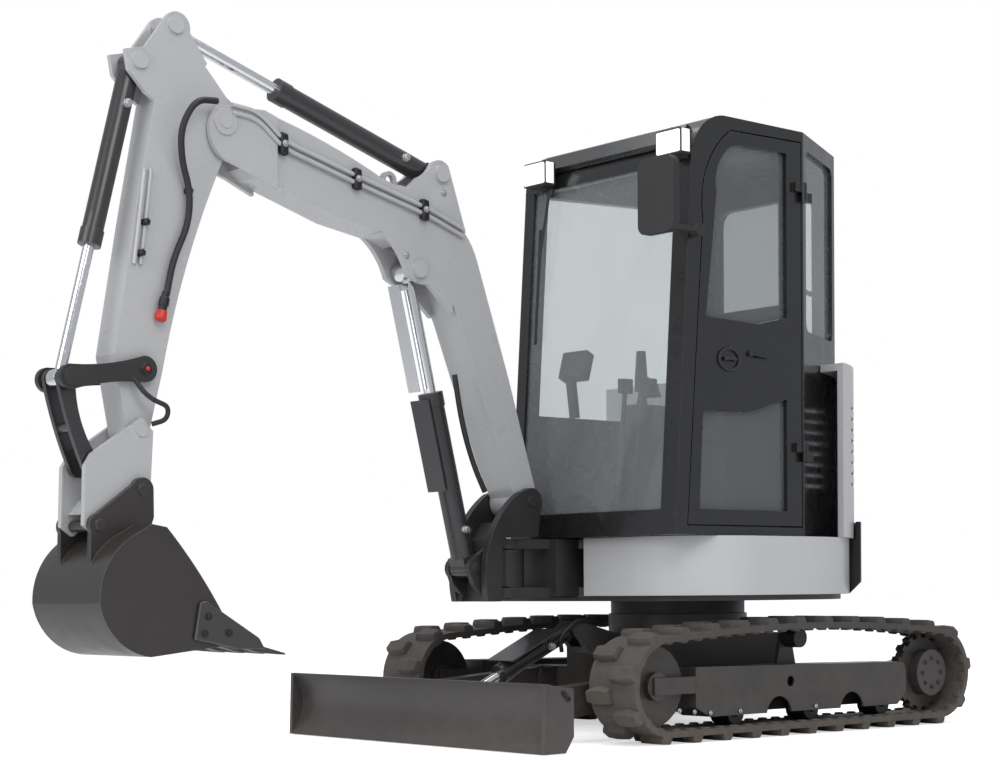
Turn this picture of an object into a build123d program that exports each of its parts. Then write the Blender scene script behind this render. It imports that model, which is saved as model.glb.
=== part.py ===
# Mini excavator with a closed cab, rubber tracks, dozer blade, boom, arm and bucket on a quick coupler.
# Frame: +X towards the blade and bucket, +Y to the left (door) side, +Z up, ground at z = 0, millimetres.
# Every sketch is drawn relative to the slew axis, which stands at x = slew_x.
from build123d import *
import os

os.makedirs("parts", exist_ok=True)

# Place of the slew axis, so that the whole machine is centred on x = 0
slew_x = -955
# Mid-plane of the boom, arm and bucket
boom_y = -120

# Tracks
track_half_gauge = 650
track_width = 250
wheel_z = 220
idler_x = 830
sprocket_x = -835
belt_inner_r = 170
belt_thickness = 24
lug_height = 26
carrier_x = -36
carrier_top_z = 428
carrier_r = 40
roller_r = 46
roller_xs = (385, -70, -530)
rail_top_z = 285
rail_bottom_z = 92
rail_y_in = 570
rail_y_out = 722
rail_wall = 10
tie_down = (85, 215)
tie_down_r = 22
# Gap left between a piece and the seat that carries it, and the radius of the small cylinder pins
seat_gap = 0.3
small_pin_r = 19.75
small_bore_r = 20.05

# Blade
blade_half_width = 795
blade_height = 255
blade_edge_x = 1504
blade_skin = 16
blade_pivot = (470, 215)
blade_arm_y = 400
blade_cyl_base = (640, 430)
blade_cyl_rod = (1190, 178)

# Upper structure
skirt_bottom_z = 567
skirt_top_z = 803
skirt_wall = 40
skirt_front_x = 660
skirt_side_y = 742
skirt_corner_r = 340
tail_r = 790
deck_z = 545
deck_thickness = 22
deck_half_width = skirt_side_y - skirt_wall - seat_gap
deck_top_z = deck_z + deck_thickness
kingpin = (900, boom_y)
kingpin_r = 30

# Cab
cab_bottom_z = 805
cab_top_z = 2455
cab_left_y = 700
cab_right_y = -270
cab_rear_x = -500
cab_wall = 45

# Boom, arm and bucket pin centres, x and z
foot_pin = (840, 955)
boom_cyl_low = (1105, 683)
boom_cyl_top = (1390, 1852)
arm_cyl_rear = (1275, 2239)
arm_cyl_front = (2475, 2618)
nose_pin = (2289, 2296)
bucket_cyl_top = (2623, 2470)
rocker_pin = (2628, 1382)
rod_pin = (2920, 1338)
link_pin = (2824, 1035)
tip_pin = (2648, 1164)
ear_pin_front = (2660, 957)
ear_pin_rear = (2832, 829)
boom_half = 80
arm_half = 64
bucket_half = 240


def side_plane(y):
    return Plane(origin=(slew_x, y, 0), x_dir=(1, 0, 0), z_dir=(0, -1, 0))


def plan_plane(z):
    return Plane(origin=(slew_x, 0, z), x_dir=(1, 0, 0), z_dir=(0, 0, 1))


def cross_plane(x):
    return Plane(origin=(slew_x + x, 0, 0), x_dir=(0, 1, 0), z_dir=(1, 0, 0))


def finish(builder, name):
    builder.part.label = name
    export_step(builder.part, "parts/" + name + ".step")


def along(a, b, dist, off=0):
    # The point at dist from a towards b, moved off to the left of that line
    length = ((b[0] - a[0]) ** 2 + (b[1] - a[1]) ** 2) ** 0.5
    ux = (b[0] - a[0]) / length
    uz = (b[1] - a[1]) / length
    return (a[0] + ux * dist - uz * off, a[1] + uz * dist + ux * off)


def span(a, b):
    return ((b[0] - a[0]) ** 2 + (b[1] - a[1]) ** 2) ** 0.5


# Tracks: one belt loop each, with chunky lugs in two staggered rows
lug_count = 41
lug_along = 44
lug_length = 112
lug_row_y = 64
with BuildLine() as belt_line:
    ThreePointArc((sprocket_x, wheel_z + belt_inner_r), (carrier_x, carrier_top_z),
                  (idler_x, wheel_z + belt_inner_r))
    ThreePointArc((idler_x, wheel_z + belt_inner_r), (idler_x + belt_inner_r, wheel_z),
                  (idler_x, wheel_z - belt_inner_r))
    Line((idler_x, wheel_z - belt_inner_r), (sprocket_x, wheel_z - belt_inner_r))
    ThreePointArc((sprocket_x, wheel_z - belt_inner_r), (sprocket_x - belt_inner_r, wheel_z),
                  (sprocket_x, wheel_z + belt_inner_r))
belt_path = belt_line.wires()[0]


def lug_places(plane, row, shift):
    places = []
    for i in range(lug_count):
        t = ((i + shift) / lug_count) % 1
        point = belt_path.position_at(t)
        heading = belt_path.tangent_at(t)
        centre = plane.from_local_coords((point.X, point.Y, row))
        direction = plane.x_dir * heading.X + plane.y_dir * heading.Y
        places.append(Plane(origin=centre, x_dir=direction, z_dir=plane.z_dir).location)
    return places


for side, name in ((1, "track_left"), (-1, "track_right")):
    belt_plane = side_plane(side * track_half_gauge)
    with BuildPart() as track:
        with BuildSketch(belt_plane):
            with BuildLine():
                add(belt_line.line)
            make_face()
            offset(amount=belt_thickness)
            with BuildLine():
                add(belt_line.line)
            make_face(mode=Mode.SUBTRACT)
        extrude(amount=track_width / 2, both=True)
        with Locations(*lug_places(belt_plane, lug_row_y, 0)):
            with Locations((0, belt_thickness + lug_height / 2 - 1)):
                Box(lug_along, lug_height + 2, lug_length)
        with Locations(*lug_places(belt_plane, -lug_row_y, 0.5)):
            with Locations((0, belt_thickness + lug_height / 2 - 1)):
                Box(lug_along, lug_height + 2, lug_length)
    finish(track, name)

# Track frames: box rails with arched cut-outs above the gaps between rollers
motor_y_out = 625
fork_y = (584, 716)
fork_half = 5
with BuildPart() as track_frames:
    for side in (1, -1):
        with BuildSketch(side_plane(side * (rail_y_in + rail_y_out) / 2)):
            with BuildLine():
                Polyline((-640, rail_top_z - 12), (640, rail_top_z + 4), (640, 130), (560, rail_bottom_z),
                         (-600, rail_bottom_z), (-660, 140), (-660, 240), close=True)
            make_face()
            with Locations((155, 82), (-300, 82)):
                Circle(75, mode=Mode.SUBTRACT)
        extrude(amount=(rail_y_out - rail_y_in) / 2, both=True)
        # Open underneath, where the rollers run
        with BuildSketch(side_plane(side * (rail_y_in + rail_y_out) / 2)):
            with Locations((-20, rail_top_z - 130)):
                Rectangle(1160, 230)
        extrude(amount=(rail_y_out - rail_y_in) / 2 - rail_wall, both=True, mode=Mode.SUBTRACT)
        # Tie-down hole in the outer wall
        with BuildSketch(side_plane(side * (rail_y_out - rail_wall / 2))):
            with Locations(tie_down):
                Circle(tie_down_r)
        extrude(amount=rail_wall, both=True, mode=Mode.SUBTRACT)
        # Bracket of the carrier roller
        with BuildSketch(side_plane(side * 582)):
            with BuildLine():
                Polyline((carrier_x - 60, 270), (carrier_x + 60, 270), (carrier_x + 26, 410),
                         (carrier_x - 26, 410),
                         close=True)
            make_face()
        extrude(amount=9, both=True)
        # Front fork that carries the idler
        for y in fork_y:
            with BuildSketch(side_plane(side * y)):
                with Locations((745, wheel_z)):
                    Rectangle(240, 66)
            extrude(amount=fork_half, both=True)
        # Motor housing for the sprocket at the rear
        with BuildSketch(side_plane(side * (motor_y_out - 25))):
            with Locations((sprocket_x, wheel_z)):
                Circle(95)
            with BuildLine():
                Polyline((-640, 260), (sprocket_x, 290), (sprocket_x, 150), (-640, 130), close=True)
            make_face()
        extrude(amount=25, both=True)
finish(track_frames, "track_frames")

# Idlers at the front and sprockets at the rear
hub_half = (fork_y[1] - fork_y[0]) / 2 - fork_half - seat_gap
with BuildPart() as idlers:
    for side in (1, -1):
        with BuildSketch(side_plane(side * track_half_gauge)):
            with Locations((idler_x + 5, wheel_z)):
                Circle(158)
        extrude(amount=32, both=True)
        with BuildSketch(side_plane(side * track_half_gauge)):
            with Locations((idler_x + 5, wheel_z)):
                RegularPolygon(55, 16)
        extrude(amount=hub_half, both=True)
finish(idlers, "idlers")

drum_y_in = motor_y_out + seat_gap
drum_y_out = 724
with BuildPart() as sprockets:
    for side in (1, -1):
        with BuildSketch(side_plane(side * track_half_gauge)):
            with Locations((sprocket_x, wheel_z)):
                RegularPolygon(152, 34)
                with PolarLocations(150, 17):
                    Rectangle(34, 26)
        extrude(amount=20, both=True)
        with BuildSketch(side_plane(side * (drum_y_in + drum_y_out) / 2)):
            with Locations((sprocket_x, wheel_z)):
                Circle(100)
        extrude(amount=(drum_y_out - drum_y_in) / 2, both=True)
finish(sprockets, "sprockets")

# Bottom rollers and carrier rollers: prisms with few faces, since they repeat
roller_z = wheel_z - belt_inner_r + seat_gap + roller_r
carrier_z = carrier_top_z - seat_gap - carrier_r
rail_mid_y = (rail_y_in + rail_y_out) / 2
with BuildPart() as rollers:
    for side in (1, -1):
        with BuildSketch(side_plane(side * rail_mid_y)):
            with Locations(*[(x, roller_z) for x in roller_xs]):
                RegularPolygon(roller_r, 16)
        extrude(amount=50, both=True)
        with BuildSketch(side_plane(side * rail_mid_y)):
            with Locations(*[(x, roller_z) for x in roller_xs]):
                RegularPolygon(14, 8)
        extrude(amount=(rail_y_out - rail_y_in) / 2 - rail_wall, both=True)
        with BuildSketch(side_plane(side * 635)):
            with Locations((carrier_x, carrier_z)):
                RegularPolygon(carrier_r, 16)
        extrude(amount=35, both=True)
        with BuildSketch(side_plane(side * 600)):
            with Locations((carrier_x, carrier_z)):
                RegularPolygon(14, 8)
        extrude(amount=9, both=True)
finish(rollers, "rollers")

# Lower frame: centre box, sloping legs to the track frames, pedestal for the slew ring
with BuildPart() as lower_frame:
    with BuildSketch(plan_plane(150)):
        Rectangle(800, 560)
    extrude(amount=250)
    with BuildSketch(side_plane(0)):
        with BuildLine():
            Polyline((-420, 130), (-260, 130), (-260, 262), (-420, 262), close=True)
        make_face()
        with BuildLine():
            Polyline((260, 130), (400, 130), (400, 262), (260, 262), close=True)
        make_face()
    extrude(amount=rail_y_in, both=True)
    for side in (1, -1):
        for off in (-51, 51):
            with BuildSketch(side_plane(side * blade_arm_y + off)):
                with BuildLine():
                    Polyline((395, 165), (blade_pivot[0] + 20, 175), (blade_pivot[0] + 38, blade_pivot[1]),
                             (blade_pivot[0] + 20, 255), (395, 262), close=True)
                make_face()
            extrude(amount=6, both=True)
        with BuildSketch(side_plane(side * blade_arm_y)):
            with Locations(blade_pivot):
                Circle(small_pin_r)
        extrude(amount=60, both=True)
    with BuildSketch(plan_plane(400)):
        Circle(300)
    extrude(amount=88)
    with BuildSketch(side_plane(0)):
        with BuildLine():
            Polyline((395, 280), (blade_cyl_base[0] - 60, 330), (blade_cyl_base[0], 398),
                     (blade_cyl_base[0] + 32, 430),
                     (blade_cyl_base[0], 465), (395, 400), close=True)
        make_face()
    extrude(amount=60, both=True)
    with BuildSketch(side_plane(0)):
        with Locations((blade_cyl_base[0], blade_cyl_base[1])):
            Rectangle(170, 150)
    extrude(amount=34, both=True, mode=Mode.SUBTRACT)
    with BuildSketch(side_plane(0)):
        with Locations(blade_cyl_base):
            Circle(small_pin_r)
    extrude(amount=60, both=True)
finish(lower_frame, "lower_frame")

# Slew ring on the pedestal
ring_low_z = 488
with BuildPart() as slew_ring:
    with BuildSketch(plan_plane(ring_low_z)):
        Circle(290)
        Circle(230, mode=Mode.SUBTRACT)
    extrude(amount=deck_z - seat_gap - ring_low_z)
finish(slew_ring, "slew_ring")

# Blade: curved mouldboard with end plates, and two arms back to the pivots
blade_low_z = 2
blade_back_x = blade_edge_x - 62 - blade_skin
with BuildPart() as blade:
    with BuildSketch(side_plane(0)):
        with BuildLine():
            ThreePointArc((blade_edge_x, blade_low_z), (blade_edge_x - 62, 130),
                          (blade_edge_x - 12, blade_height))
            Line((blade_edge_x - 12, blade_height), (blade_edge_x - 34, blade_height))
            ThreePointArc((blade_edge_x - 34, blade_height), (blade_back_x, 130),
                          (blade_edge_x - 20, blade_low_z))
            Line((blade_edge_x - 20, blade_low_z), (blade_edge_x, blade_low_z))
        make_face()
    extrude(amount=blade_half_width, both=True)
    # Tube that stiffens the back along the top
    with BuildSketch(side_plane(0)):
        with BuildLine():
            Polyline((blade_edge_x - 38, blade_height - 8), (blade_edge_x - 78, blade_height - 12),
                     (blade_edge_x - 92, blade_height - 40), (blade_edge_x - 62, blade_height - 62),
                     close=True)
        make_face()
    extrude(amount=blade_half_width - 20, both=True)
    for side in (1, -1):
        with BuildSketch(side_plane(side * (blade_half_width - 8))):
            with BuildLine():
                Polyline((blade_edge_x - 2, blade_low_z), (blade_edge_x - 12, blade_height),
                         (blade_edge_x - 150, blade_height - 20), (blade_edge_x - 150, 60),
                         (blade_edge_x - 110, blade_low_z), close=True)
            make_face()
            with Locations(Location((blade_edge_x - 112, 208), 45)):
                SlotOverall(60, 26, mode=Mode.SUBTRACT)
        extrude(amount=8, both=True)
finish(blade, "blade")

with BuildPart() as blade_arms:
    for side in (1, -1):
        with BuildSketch(side_plane(side * blade_arm_y)):
            with BuildLine():
                Polyline((blade_pivot[0], 170), (1300, 60), (blade_edge_x - 30, 60), (blade_edge_x - 30, 185),
                         (1380, 185), (1300, 200), (blade_pivot[0], 260), close=True)
            make_face()
            with Locations(blade_pivot):
                Circle(48)
                Circle(small_bore_r, mode=Mode.SUBTRACT)
        extrude(amount=40, both=True)
    with BuildSketch(side_plane(0)):
        with Locations((1180, 100)):
            Rectangle(90, 70)
    extrude(amount=blade_arm_y, both=True)
    # Lugs for the rod of the blade cylinder
    for side in (1, -1):
        with BuildSketch(side_plane(side * 48)):
            with BuildLine():
                Polyline((1140, 120), (1240, 120), (blade_cyl_rod[0] + 34, blade_cyl_rod[1]),
                         (blade_cyl_rod[0] + 20, blade_cyl_rod[1] + 32),
                         (blade_cyl_rod[0] - 20, blade_cyl_rod[1] + 32),
                         (blade_cyl_rod[0] - 34, blade_cyl_rod[1]), close=True)
            make_face()
        extrude(amount=12, both=True)
    # The arms end on the curved back of the mouldboard
    with BuildSketch(side_plane(0)):
        with BuildLine():
            ThreePointArc((blade_edge_x - 34 - seat_gap, blade_height), (blade_back_x - seat_gap, 130),
                          (blade_edge_x - 20 - seat_gap, blade_low_z))
            Line((blade_edge_x - 20 - seat_gap, blade_low_z), (blade_edge_x + 60, blade_low_z))
            Line((blade_edge_x + 60, blade_low_z), (blade_edge_x + 60, blade_height))
            Line((blade_edge_x + 60, blade_height), (blade_edge_x - 34 - seat_gap, blade_height))
        make_face()
    extrude(amount=blade_half_width, both=True, mode=Mode.SUBTRACT)
finish(blade_arms, "blade_arms")


def guard_plate(base, a, b, start, stop, off, half):
    # Flat strip along the cylinder, off its axis, 6 mm thick
    with BuildSketch(base) as strip:
        with BuildLine():
            Polyline(along(a, b, start, off), along(a, b, stop, off), along(a, b, stop, off - 6),
                     along(a, b, start, off - 6), close=True)
        make_face()
    extrude(strip.sketch, amount=half, both=True)


def make_cylinder(a, b, y, closed, barrel_r, rod_r, eye_r, eye_half, names, guards=()):
    # Hydraulic cylinder from base pin a to rod pin b; closed is its pin distance with the rod right in
    length = span(a, b)
    ux = (b[0] - a[0]) / length
    uz = (b[1] - a[1]) / length
    base = side_plane(y)
    origin = base.from_local_coords((a[0], a[1]))
    drive = base.x_dir * ux + base.y_dir * uz
    cross = Plane(origin=origin, x_dir=base.z_dir, z_dir=drive)
    barrel_end = closed - eye_r - 45
    bottom = eye_r + 24
    with BuildPart() as barrel:
        with BuildSketch(base):
            with Locations(a):
                Circle(eye_r)
            with BuildLine():
                Polyline(along(a, b, 0, eye_r * 0.9), along(a, b, eye_r + 12, barrel_r * 0.8),
                         along(a, b, eye_r + 12, -barrel_r * 0.8), along(a, b, 0, -eye_r * 0.9), close=True)
            make_face()
        extrude(amount=eye_half, both=True)
        with BuildSketch(cross.offset(eye_r + 8)):
            Circle(barrel_r)
        extrude(amount=barrel_end - eye_r - 8)
        with BuildSketch(cross.offset(barrel_end)):
            Circle(barrel_r + 4)
        extrude(amount=-55)
        for start, stop, off, half in guards[:1]:
            guard_plate(base, a, b, start, stop, off, half)
            # Two feet that hold the guard on the barrel
            for foot in (start + 60, stop - 60):
                with BuildSketch(base):
                    with BuildLine():
                        Polyline(along(a, b, foot - 20, off - 3), along(a, b, foot + 20, off - 3),
                                 along(a, b, foot + 20, 0), along(a, b, foot - 20, 0), close=True)
                    make_face()
                extrude(amount=half * 0.4, both=True)
        with BuildSketch(base):
            with Locations(a):
                Circle(small_bore_r)
        extrude(amount=eye_half, both=True, mode=Mode.SUBTRACT)
        with BuildSketch(cross.offset(bottom)):
            Circle(rod_r + 0.5)
        extrude(amount=closed, mode=Mode.SUBTRACT)
    finish(barrel, names[0])
    rod_in = length - closed + bottom + 10
    with BuildPart() as rod:
        with BuildSketch(base):
            with Locations(b):
                Circle(eye_r)
        extrude(amount=eye_half, both=True)
        with BuildSketch(cross.offset(rod_in)):
            Circle(rod_r)
        extrude(amount=length - rod_in - eye_r * 0.6)
        for start, stop, off, half in guards[1:]:
            guard_plate(base, a, b, start, stop, off, half)
            # Block that ties the strip to the rod next to its eye
            with BuildSketch(base):
                with BuildLine():
                    Polyline(along(a, b, stop - 26, off - 3), along(a, b, stop, off - 3),
                             along(a, b, stop, 0), along(a, b, stop - 26, 0), close=True)
                make_face()
            extrude(amount=half * 0.5, both=True)
    finish(rod, names[1])


blade_cyl_closed = 500
blade_guard = (105, 400, 52, 80)
make_cylinder(blade_cyl_base, blade_cyl_rod, 0, blade_cyl_closed, 38, 20, 30, 28,
              ("blade_barrel", "blade_rod"),
              (blade_guard,))

# Upper frame: deck plate, nose with the kingpin lugs, and the posts that carry the cab floor
deck_front_x = skirt_front_x - skirt_wall
deck_corner_r = skirt_corner_r - skirt_wall
deck_corner_y = deck_half_width - deck_corner_r
cab_post_places = ((430, 520), (430, -200), (-180, 560), (-180, -200))
with BuildPart() as upper_frame:
    with BuildSketch(plan_plane(deck_z)):
        with BuildLine():
            Line((deck_front_x, deck_corner_y), (deck_front_x, -deck_corner_y))
            TangentArc((deck_front_x, -deck_corner_y), (deck_front_x - deck_corner_r, -deck_half_width),
                       tangent=(0, -1))
            Line((deck_front_x - deck_corner_r, -deck_half_width), (0, -deck_half_width))
            ThreePointArc((0, -deck_half_width), (-deck_half_width, 0), (0, deck_half_width))
            Line((0, deck_half_width), (deck_front_x - deck_corner_r, deck_half_width))
            TangentArc((deck_front_x - deck_corner_r, deck_half_width), (deck_front_x, deck_corner_y),
                       tangent=(1, 0))
        make_face()
    extrude(amount=deck_thickness)
    for z, t in ((560, 42), (762, 38)):
        with BuildSketch(plan_plane(z)):
            with BuildLine():
                Polyline((500, boom_y - 190), (500, boom_y + 220), (610, boom_y + 220), (640, boom_y + 150),
                         (kingpin[0], boom_y + 92), (kingpin[0], boom_y - 92), (640, boom_y - 150),
                         (610, boom_y - 190),
                         close=True)
            make_face()
            with Locations(kingpin):
                Circle(92)
        extrude(amount=t)
        with BuildSketch(plan_plane(z)):
            with Locations(kingpin):
                Circle(kingpin_r + 0.05)
        extrude(amount=t, mode=Mode.SUBTRACT)
    with BuildSketch(plan_plane(567)):
        with Locations((640, boom_y + 20)):
            Rectangle(230, 300)
    extrude(amount=233)
    with BuildSketch(plan_plane(deck_top_z)):
        with Locations(*cab_post_places):
            Rectangle(70, 70)
    extrude(amount=cab_bottom_z - seat_gap - deck_top_z)
finish(upper_frame, "upper_frame")

# Engine, radiator and pumps as one plain block
engine_height = 550
with BuildPart() as engine_block:
    with BuildSketch(plan_plane(deck_z + deck_thickness)):
        with Locations((-300, 60)):
            Rectangle(500, 320)
    extrude(amount=engine_height)
finish(engine_block, "engine_block")

# Light grey skirt panels, left and right of the deck
seam_x = -430
with BuildPart() as skirts:
    for side in (1, -1):
        inner_front = 110 if side > 0 else 380
        with BuildSketch(plan_plane(skirt_bottom_z)):
            with BuildLine():
                Line((skirt_front_x, side * inner_front),
                     (skirt_front_x, side * (skirt_side_y - skirt_corner_r)))
                TangentArc((skirt_front_x, side * (skirt_side_y - skirt_corner_r)),
                           (skirt_front_x - skirt_corner_r, side * skirt_side_y), tangent=(0, side))
                Line((skirt_front_x - skirt_corner_r, side * skirt_side_y), (0, side * skirt_side_y))
                ThreePointArc((0, side * skirt_side_y), (-225, side * 707), (seam_x, side * 604))
                Line((seam_x, side * 604), (seam_x + 23, side * 571))
                ThreePointArc((seam_x + 23, side * 571), (-213, side * 669),
                              (0, side * (skirt_side_y - skirt_wall)))
                Line((0, side * (skirt_side_y - skirt_wall)),
                     (skirt_front_x - skirt_corner_r, side * (skirt_side_y - skirt_wall)))
                TangentArc((skirt_front_x - skirt_corner_r, side * (skirt_side_y - skirt_wall)),
                           (skirt_front_x - skirt_wall, side * (skirt_side_y - skirt_corner_r)),
                           tangent=(1, 0))
                Line((skirt_front_x - skirt_wall, side * (skirt_side_y - skirt_corner_r)),
                     (skirt_front_x - skirt_wall, side * inner_front))
                Line((skirt_front_x - skirt_wall, side * inner_front), (skirt_front_x, side * inner_front))
            make_face()
        extrude(amount=skirt_top_z - skirt_bottom_z)
finish(skirts, "skirts")

# Counterweight: a heavy ring segment round the tail, with a thin rim on top
weight_depth = 170
weight_top_z = skirt_top_z
rim_height = 70
rim_wall = 22
with BuildPart() as counterweight:
    with BuildSketch(plan_plane(deck_top_z + seat_gap)):
        Circle(tail_r)
        Circle(tail_r - weight_depth, mode=Mode.SUBTRACT)
        with BuildLine():
            Polyline((seam_x - 8, -900), (1000, -900), (1000, 900), (seam_x - 8, 900), close=True)
        make_face(mode=Mode.SUBTRACT)
    extrude(amount=weight_top_z - deck_top_z - seat_gap)
    with BuildSketch(plan_plane(weight_top_z)):
        Circle(tail_r)
        Circle(tail_r - rim_wall, mode=Mode.SUBTRACT)
        with BuildLine():
            Polyline((seam_x - 8, -900), (1000, -900), (1000, 900), (seam_x - 8, 900), close=True)
        make_face(mode=Mode.SUBTRACT)
    extrude(amount=rim_height)
    low_arcs = counterweight.faces().sort_by(Axis.Z)[0].edges().filter_by(GeomType.CIRCLE)
    chamfer(low_arcs.sort_by(SortBy.LENGTH)[-1], 50)
finish(counterweight, "counterweight")

# Engine hood behind the cab: a tail shell closed on top up to the cab walls, with louvres on both flanks
hood_top_z = 1530
hood_r = tail_r - rim_wall - 8
hood_wall = 30
hood_front_x = -262
hood_low_z = weight_top_z + seat_gap
louvre_count = 8
louvre_pitch = 46
louvre_low_z = 1030
louvre_length = 190
louvre_angles = (127, -127)
with BuildPart() as engine_hood:
    with BuildSketch(plan_plane(hood_low_z)):
        Circle(hood_r)
        Circle(hood_r - hood_wall, mode=Mode.SUBTRACT)
        with BuildLine():
            Polyline((hood_front_x, -900), (1000, -900), (1000, 900), (hood_front_x, 900), close=True)
        make_face(mode=Mode.SUBTRACT)
    extrude(amount=hood_top_z - hood_wall - hood_low_z)
    with BuildSketch(plan_plane(hood_top_z - hood_wall)):
        Circle(hood_r)
        with BuildLine():
            Polyline((-503, cab_right_y - 4), (-503, 472), (-30, cab_left_y + 4), (1000, 900),
                     (1000, cab_right_y - 4),
                     close=True)
        make_face(mode=Mode.SUBTRACT)
        with BuildLine():
            Polyline((hood_front_x, -900), (1000, -900), (1000, 900), (hood_front_x, 900), close=True)
        make_face(mode=Mode.SUBTRACT)
    extrude(amount=hood_wall)
    # Front wall of the right-hand part
    with BuildSketch(plan_plane(hood_low_z)):
        with Locations((hood_front_x - 10, (cab_right_y - 4 - 700) / 2)):
            Rectangle(20, 700 + cab_right_y - 4)
    extrude(amount=hood_top_z - hood_wall - hood_low_z)
    # Louvre slots through the shell
    for angle in louvre_angles:
        for i in range(louvre_count):
            slot_place = Plane(origin=(slew_x, 0, louvre_low_z + i * louvre_pitch)).rotated((0, 0, angle))
            with Locations(slot_place.offset(0).location * Location((hood_r - hood_wall / 2, 0, 0))):
                Box(hood_wall * 3, louvre_length, 14, mode=Mode.SUBTRACT)
finish(engine_hood, "engine_hood")

# Right-hand side cover with the tanks under it, with a row of air slots
cover_low_z = skirt_top_z + seat_gap
cover_height = 430
with BuildPart() as tank_cover:
    with BuildSketch(plan_plane(cover_low_z)):
        with BuildLine():
            Polyline((600, cab_right_y - 5), (600, -560), (420, -skirt_side_y),
                     (hood_front_x + 4, -skirt_side_y),
                     (hood_front_x + 4, cab_right_y - 5), close=True)
        make_face()
    extrude(amount=cover_height)
    fillet(tank_cover.faces().sort_by(Axis.Z)[-1].edges(), 40)
    with BuildSketch(side_plane(-skirt_side_y)):
        with Locations((100, cover_low_z + 210)):
            with GridLocations(46, 0, 9, 1):
                SlotOverall(190, 16, rotation=90)
    extrude(amount=18, both=True, mode=Mode.SUBTRACT)
finish(tank_cover, "tank_cover")

# Cab: a hollow shell with a leaning front, a rounded roof edge and a cut-off rear left corner
cab_front_low = 727
cab_front_lean = 0.0696
corner_in = (-500, 470)
corner_out = (-30, cab_left_y)


def cab_front(z, inset=0):
    return cab_front_low - inset - cab_front_lean * (z - cab_bottom_z)


def cab_profile(inset, low, high):
    # Side outline of the cab, inset from the outside by the given distance
    with BuildLine() as outline:
        Line((cab_rear_x + inset, low), (cab_front(low, inset), low))
        Line((cab_front(low, inset), low), (cab_front(2250, inset), 2250))
        ThreePointArc((cab_front(2250, inset), 2250), (cab_front(2250, inset) - 62, high - 55), (440, high))
        Line((440, high), (cab_rear_x + inset, high))
        Line((cab_rear_x + inset, high), (cab_rear_x + inset, low))
    return outline


def door_outline(grow):
    with BuildLine() as outline:
        Line((-14 - grow, 845 - grow), (655 + grow, 845 - grow))
        Line((655 + grow, 845 - grow), (560 + grow, 2040))
        ThreePointArc((560 + grow, 2040), (510 + grow * 0.8, 2290 + grow * 0.6), (400, 2400 + grow))
        Line((400, 2400 + grow), (-14 - grow, 2408 + grow))
        Line((-14 - grow, 2408 + grow), (-14 - grow, 845 - grow))
    return outline


def upper_door_window():
    with BuildLine() as outline:
        Line((72, 1690), (250, 1650))
        Line((250, 1650), (548, 1660))
        Line((548, 1660), (484, 2150))
        ThreePointArc((484, 2150), (455, 2290), (370, 2350))
        Line((370, 2350), (72, 2355))
        Line((72, 2355), (72, 1690))
    return outline


def lower_door_window():
    with BuildLine() as outline:
        Polyline((75, 905), (590, 905), (568, 1290), (285, 1300), (75, 1360), close=True)
    return outline


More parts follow.
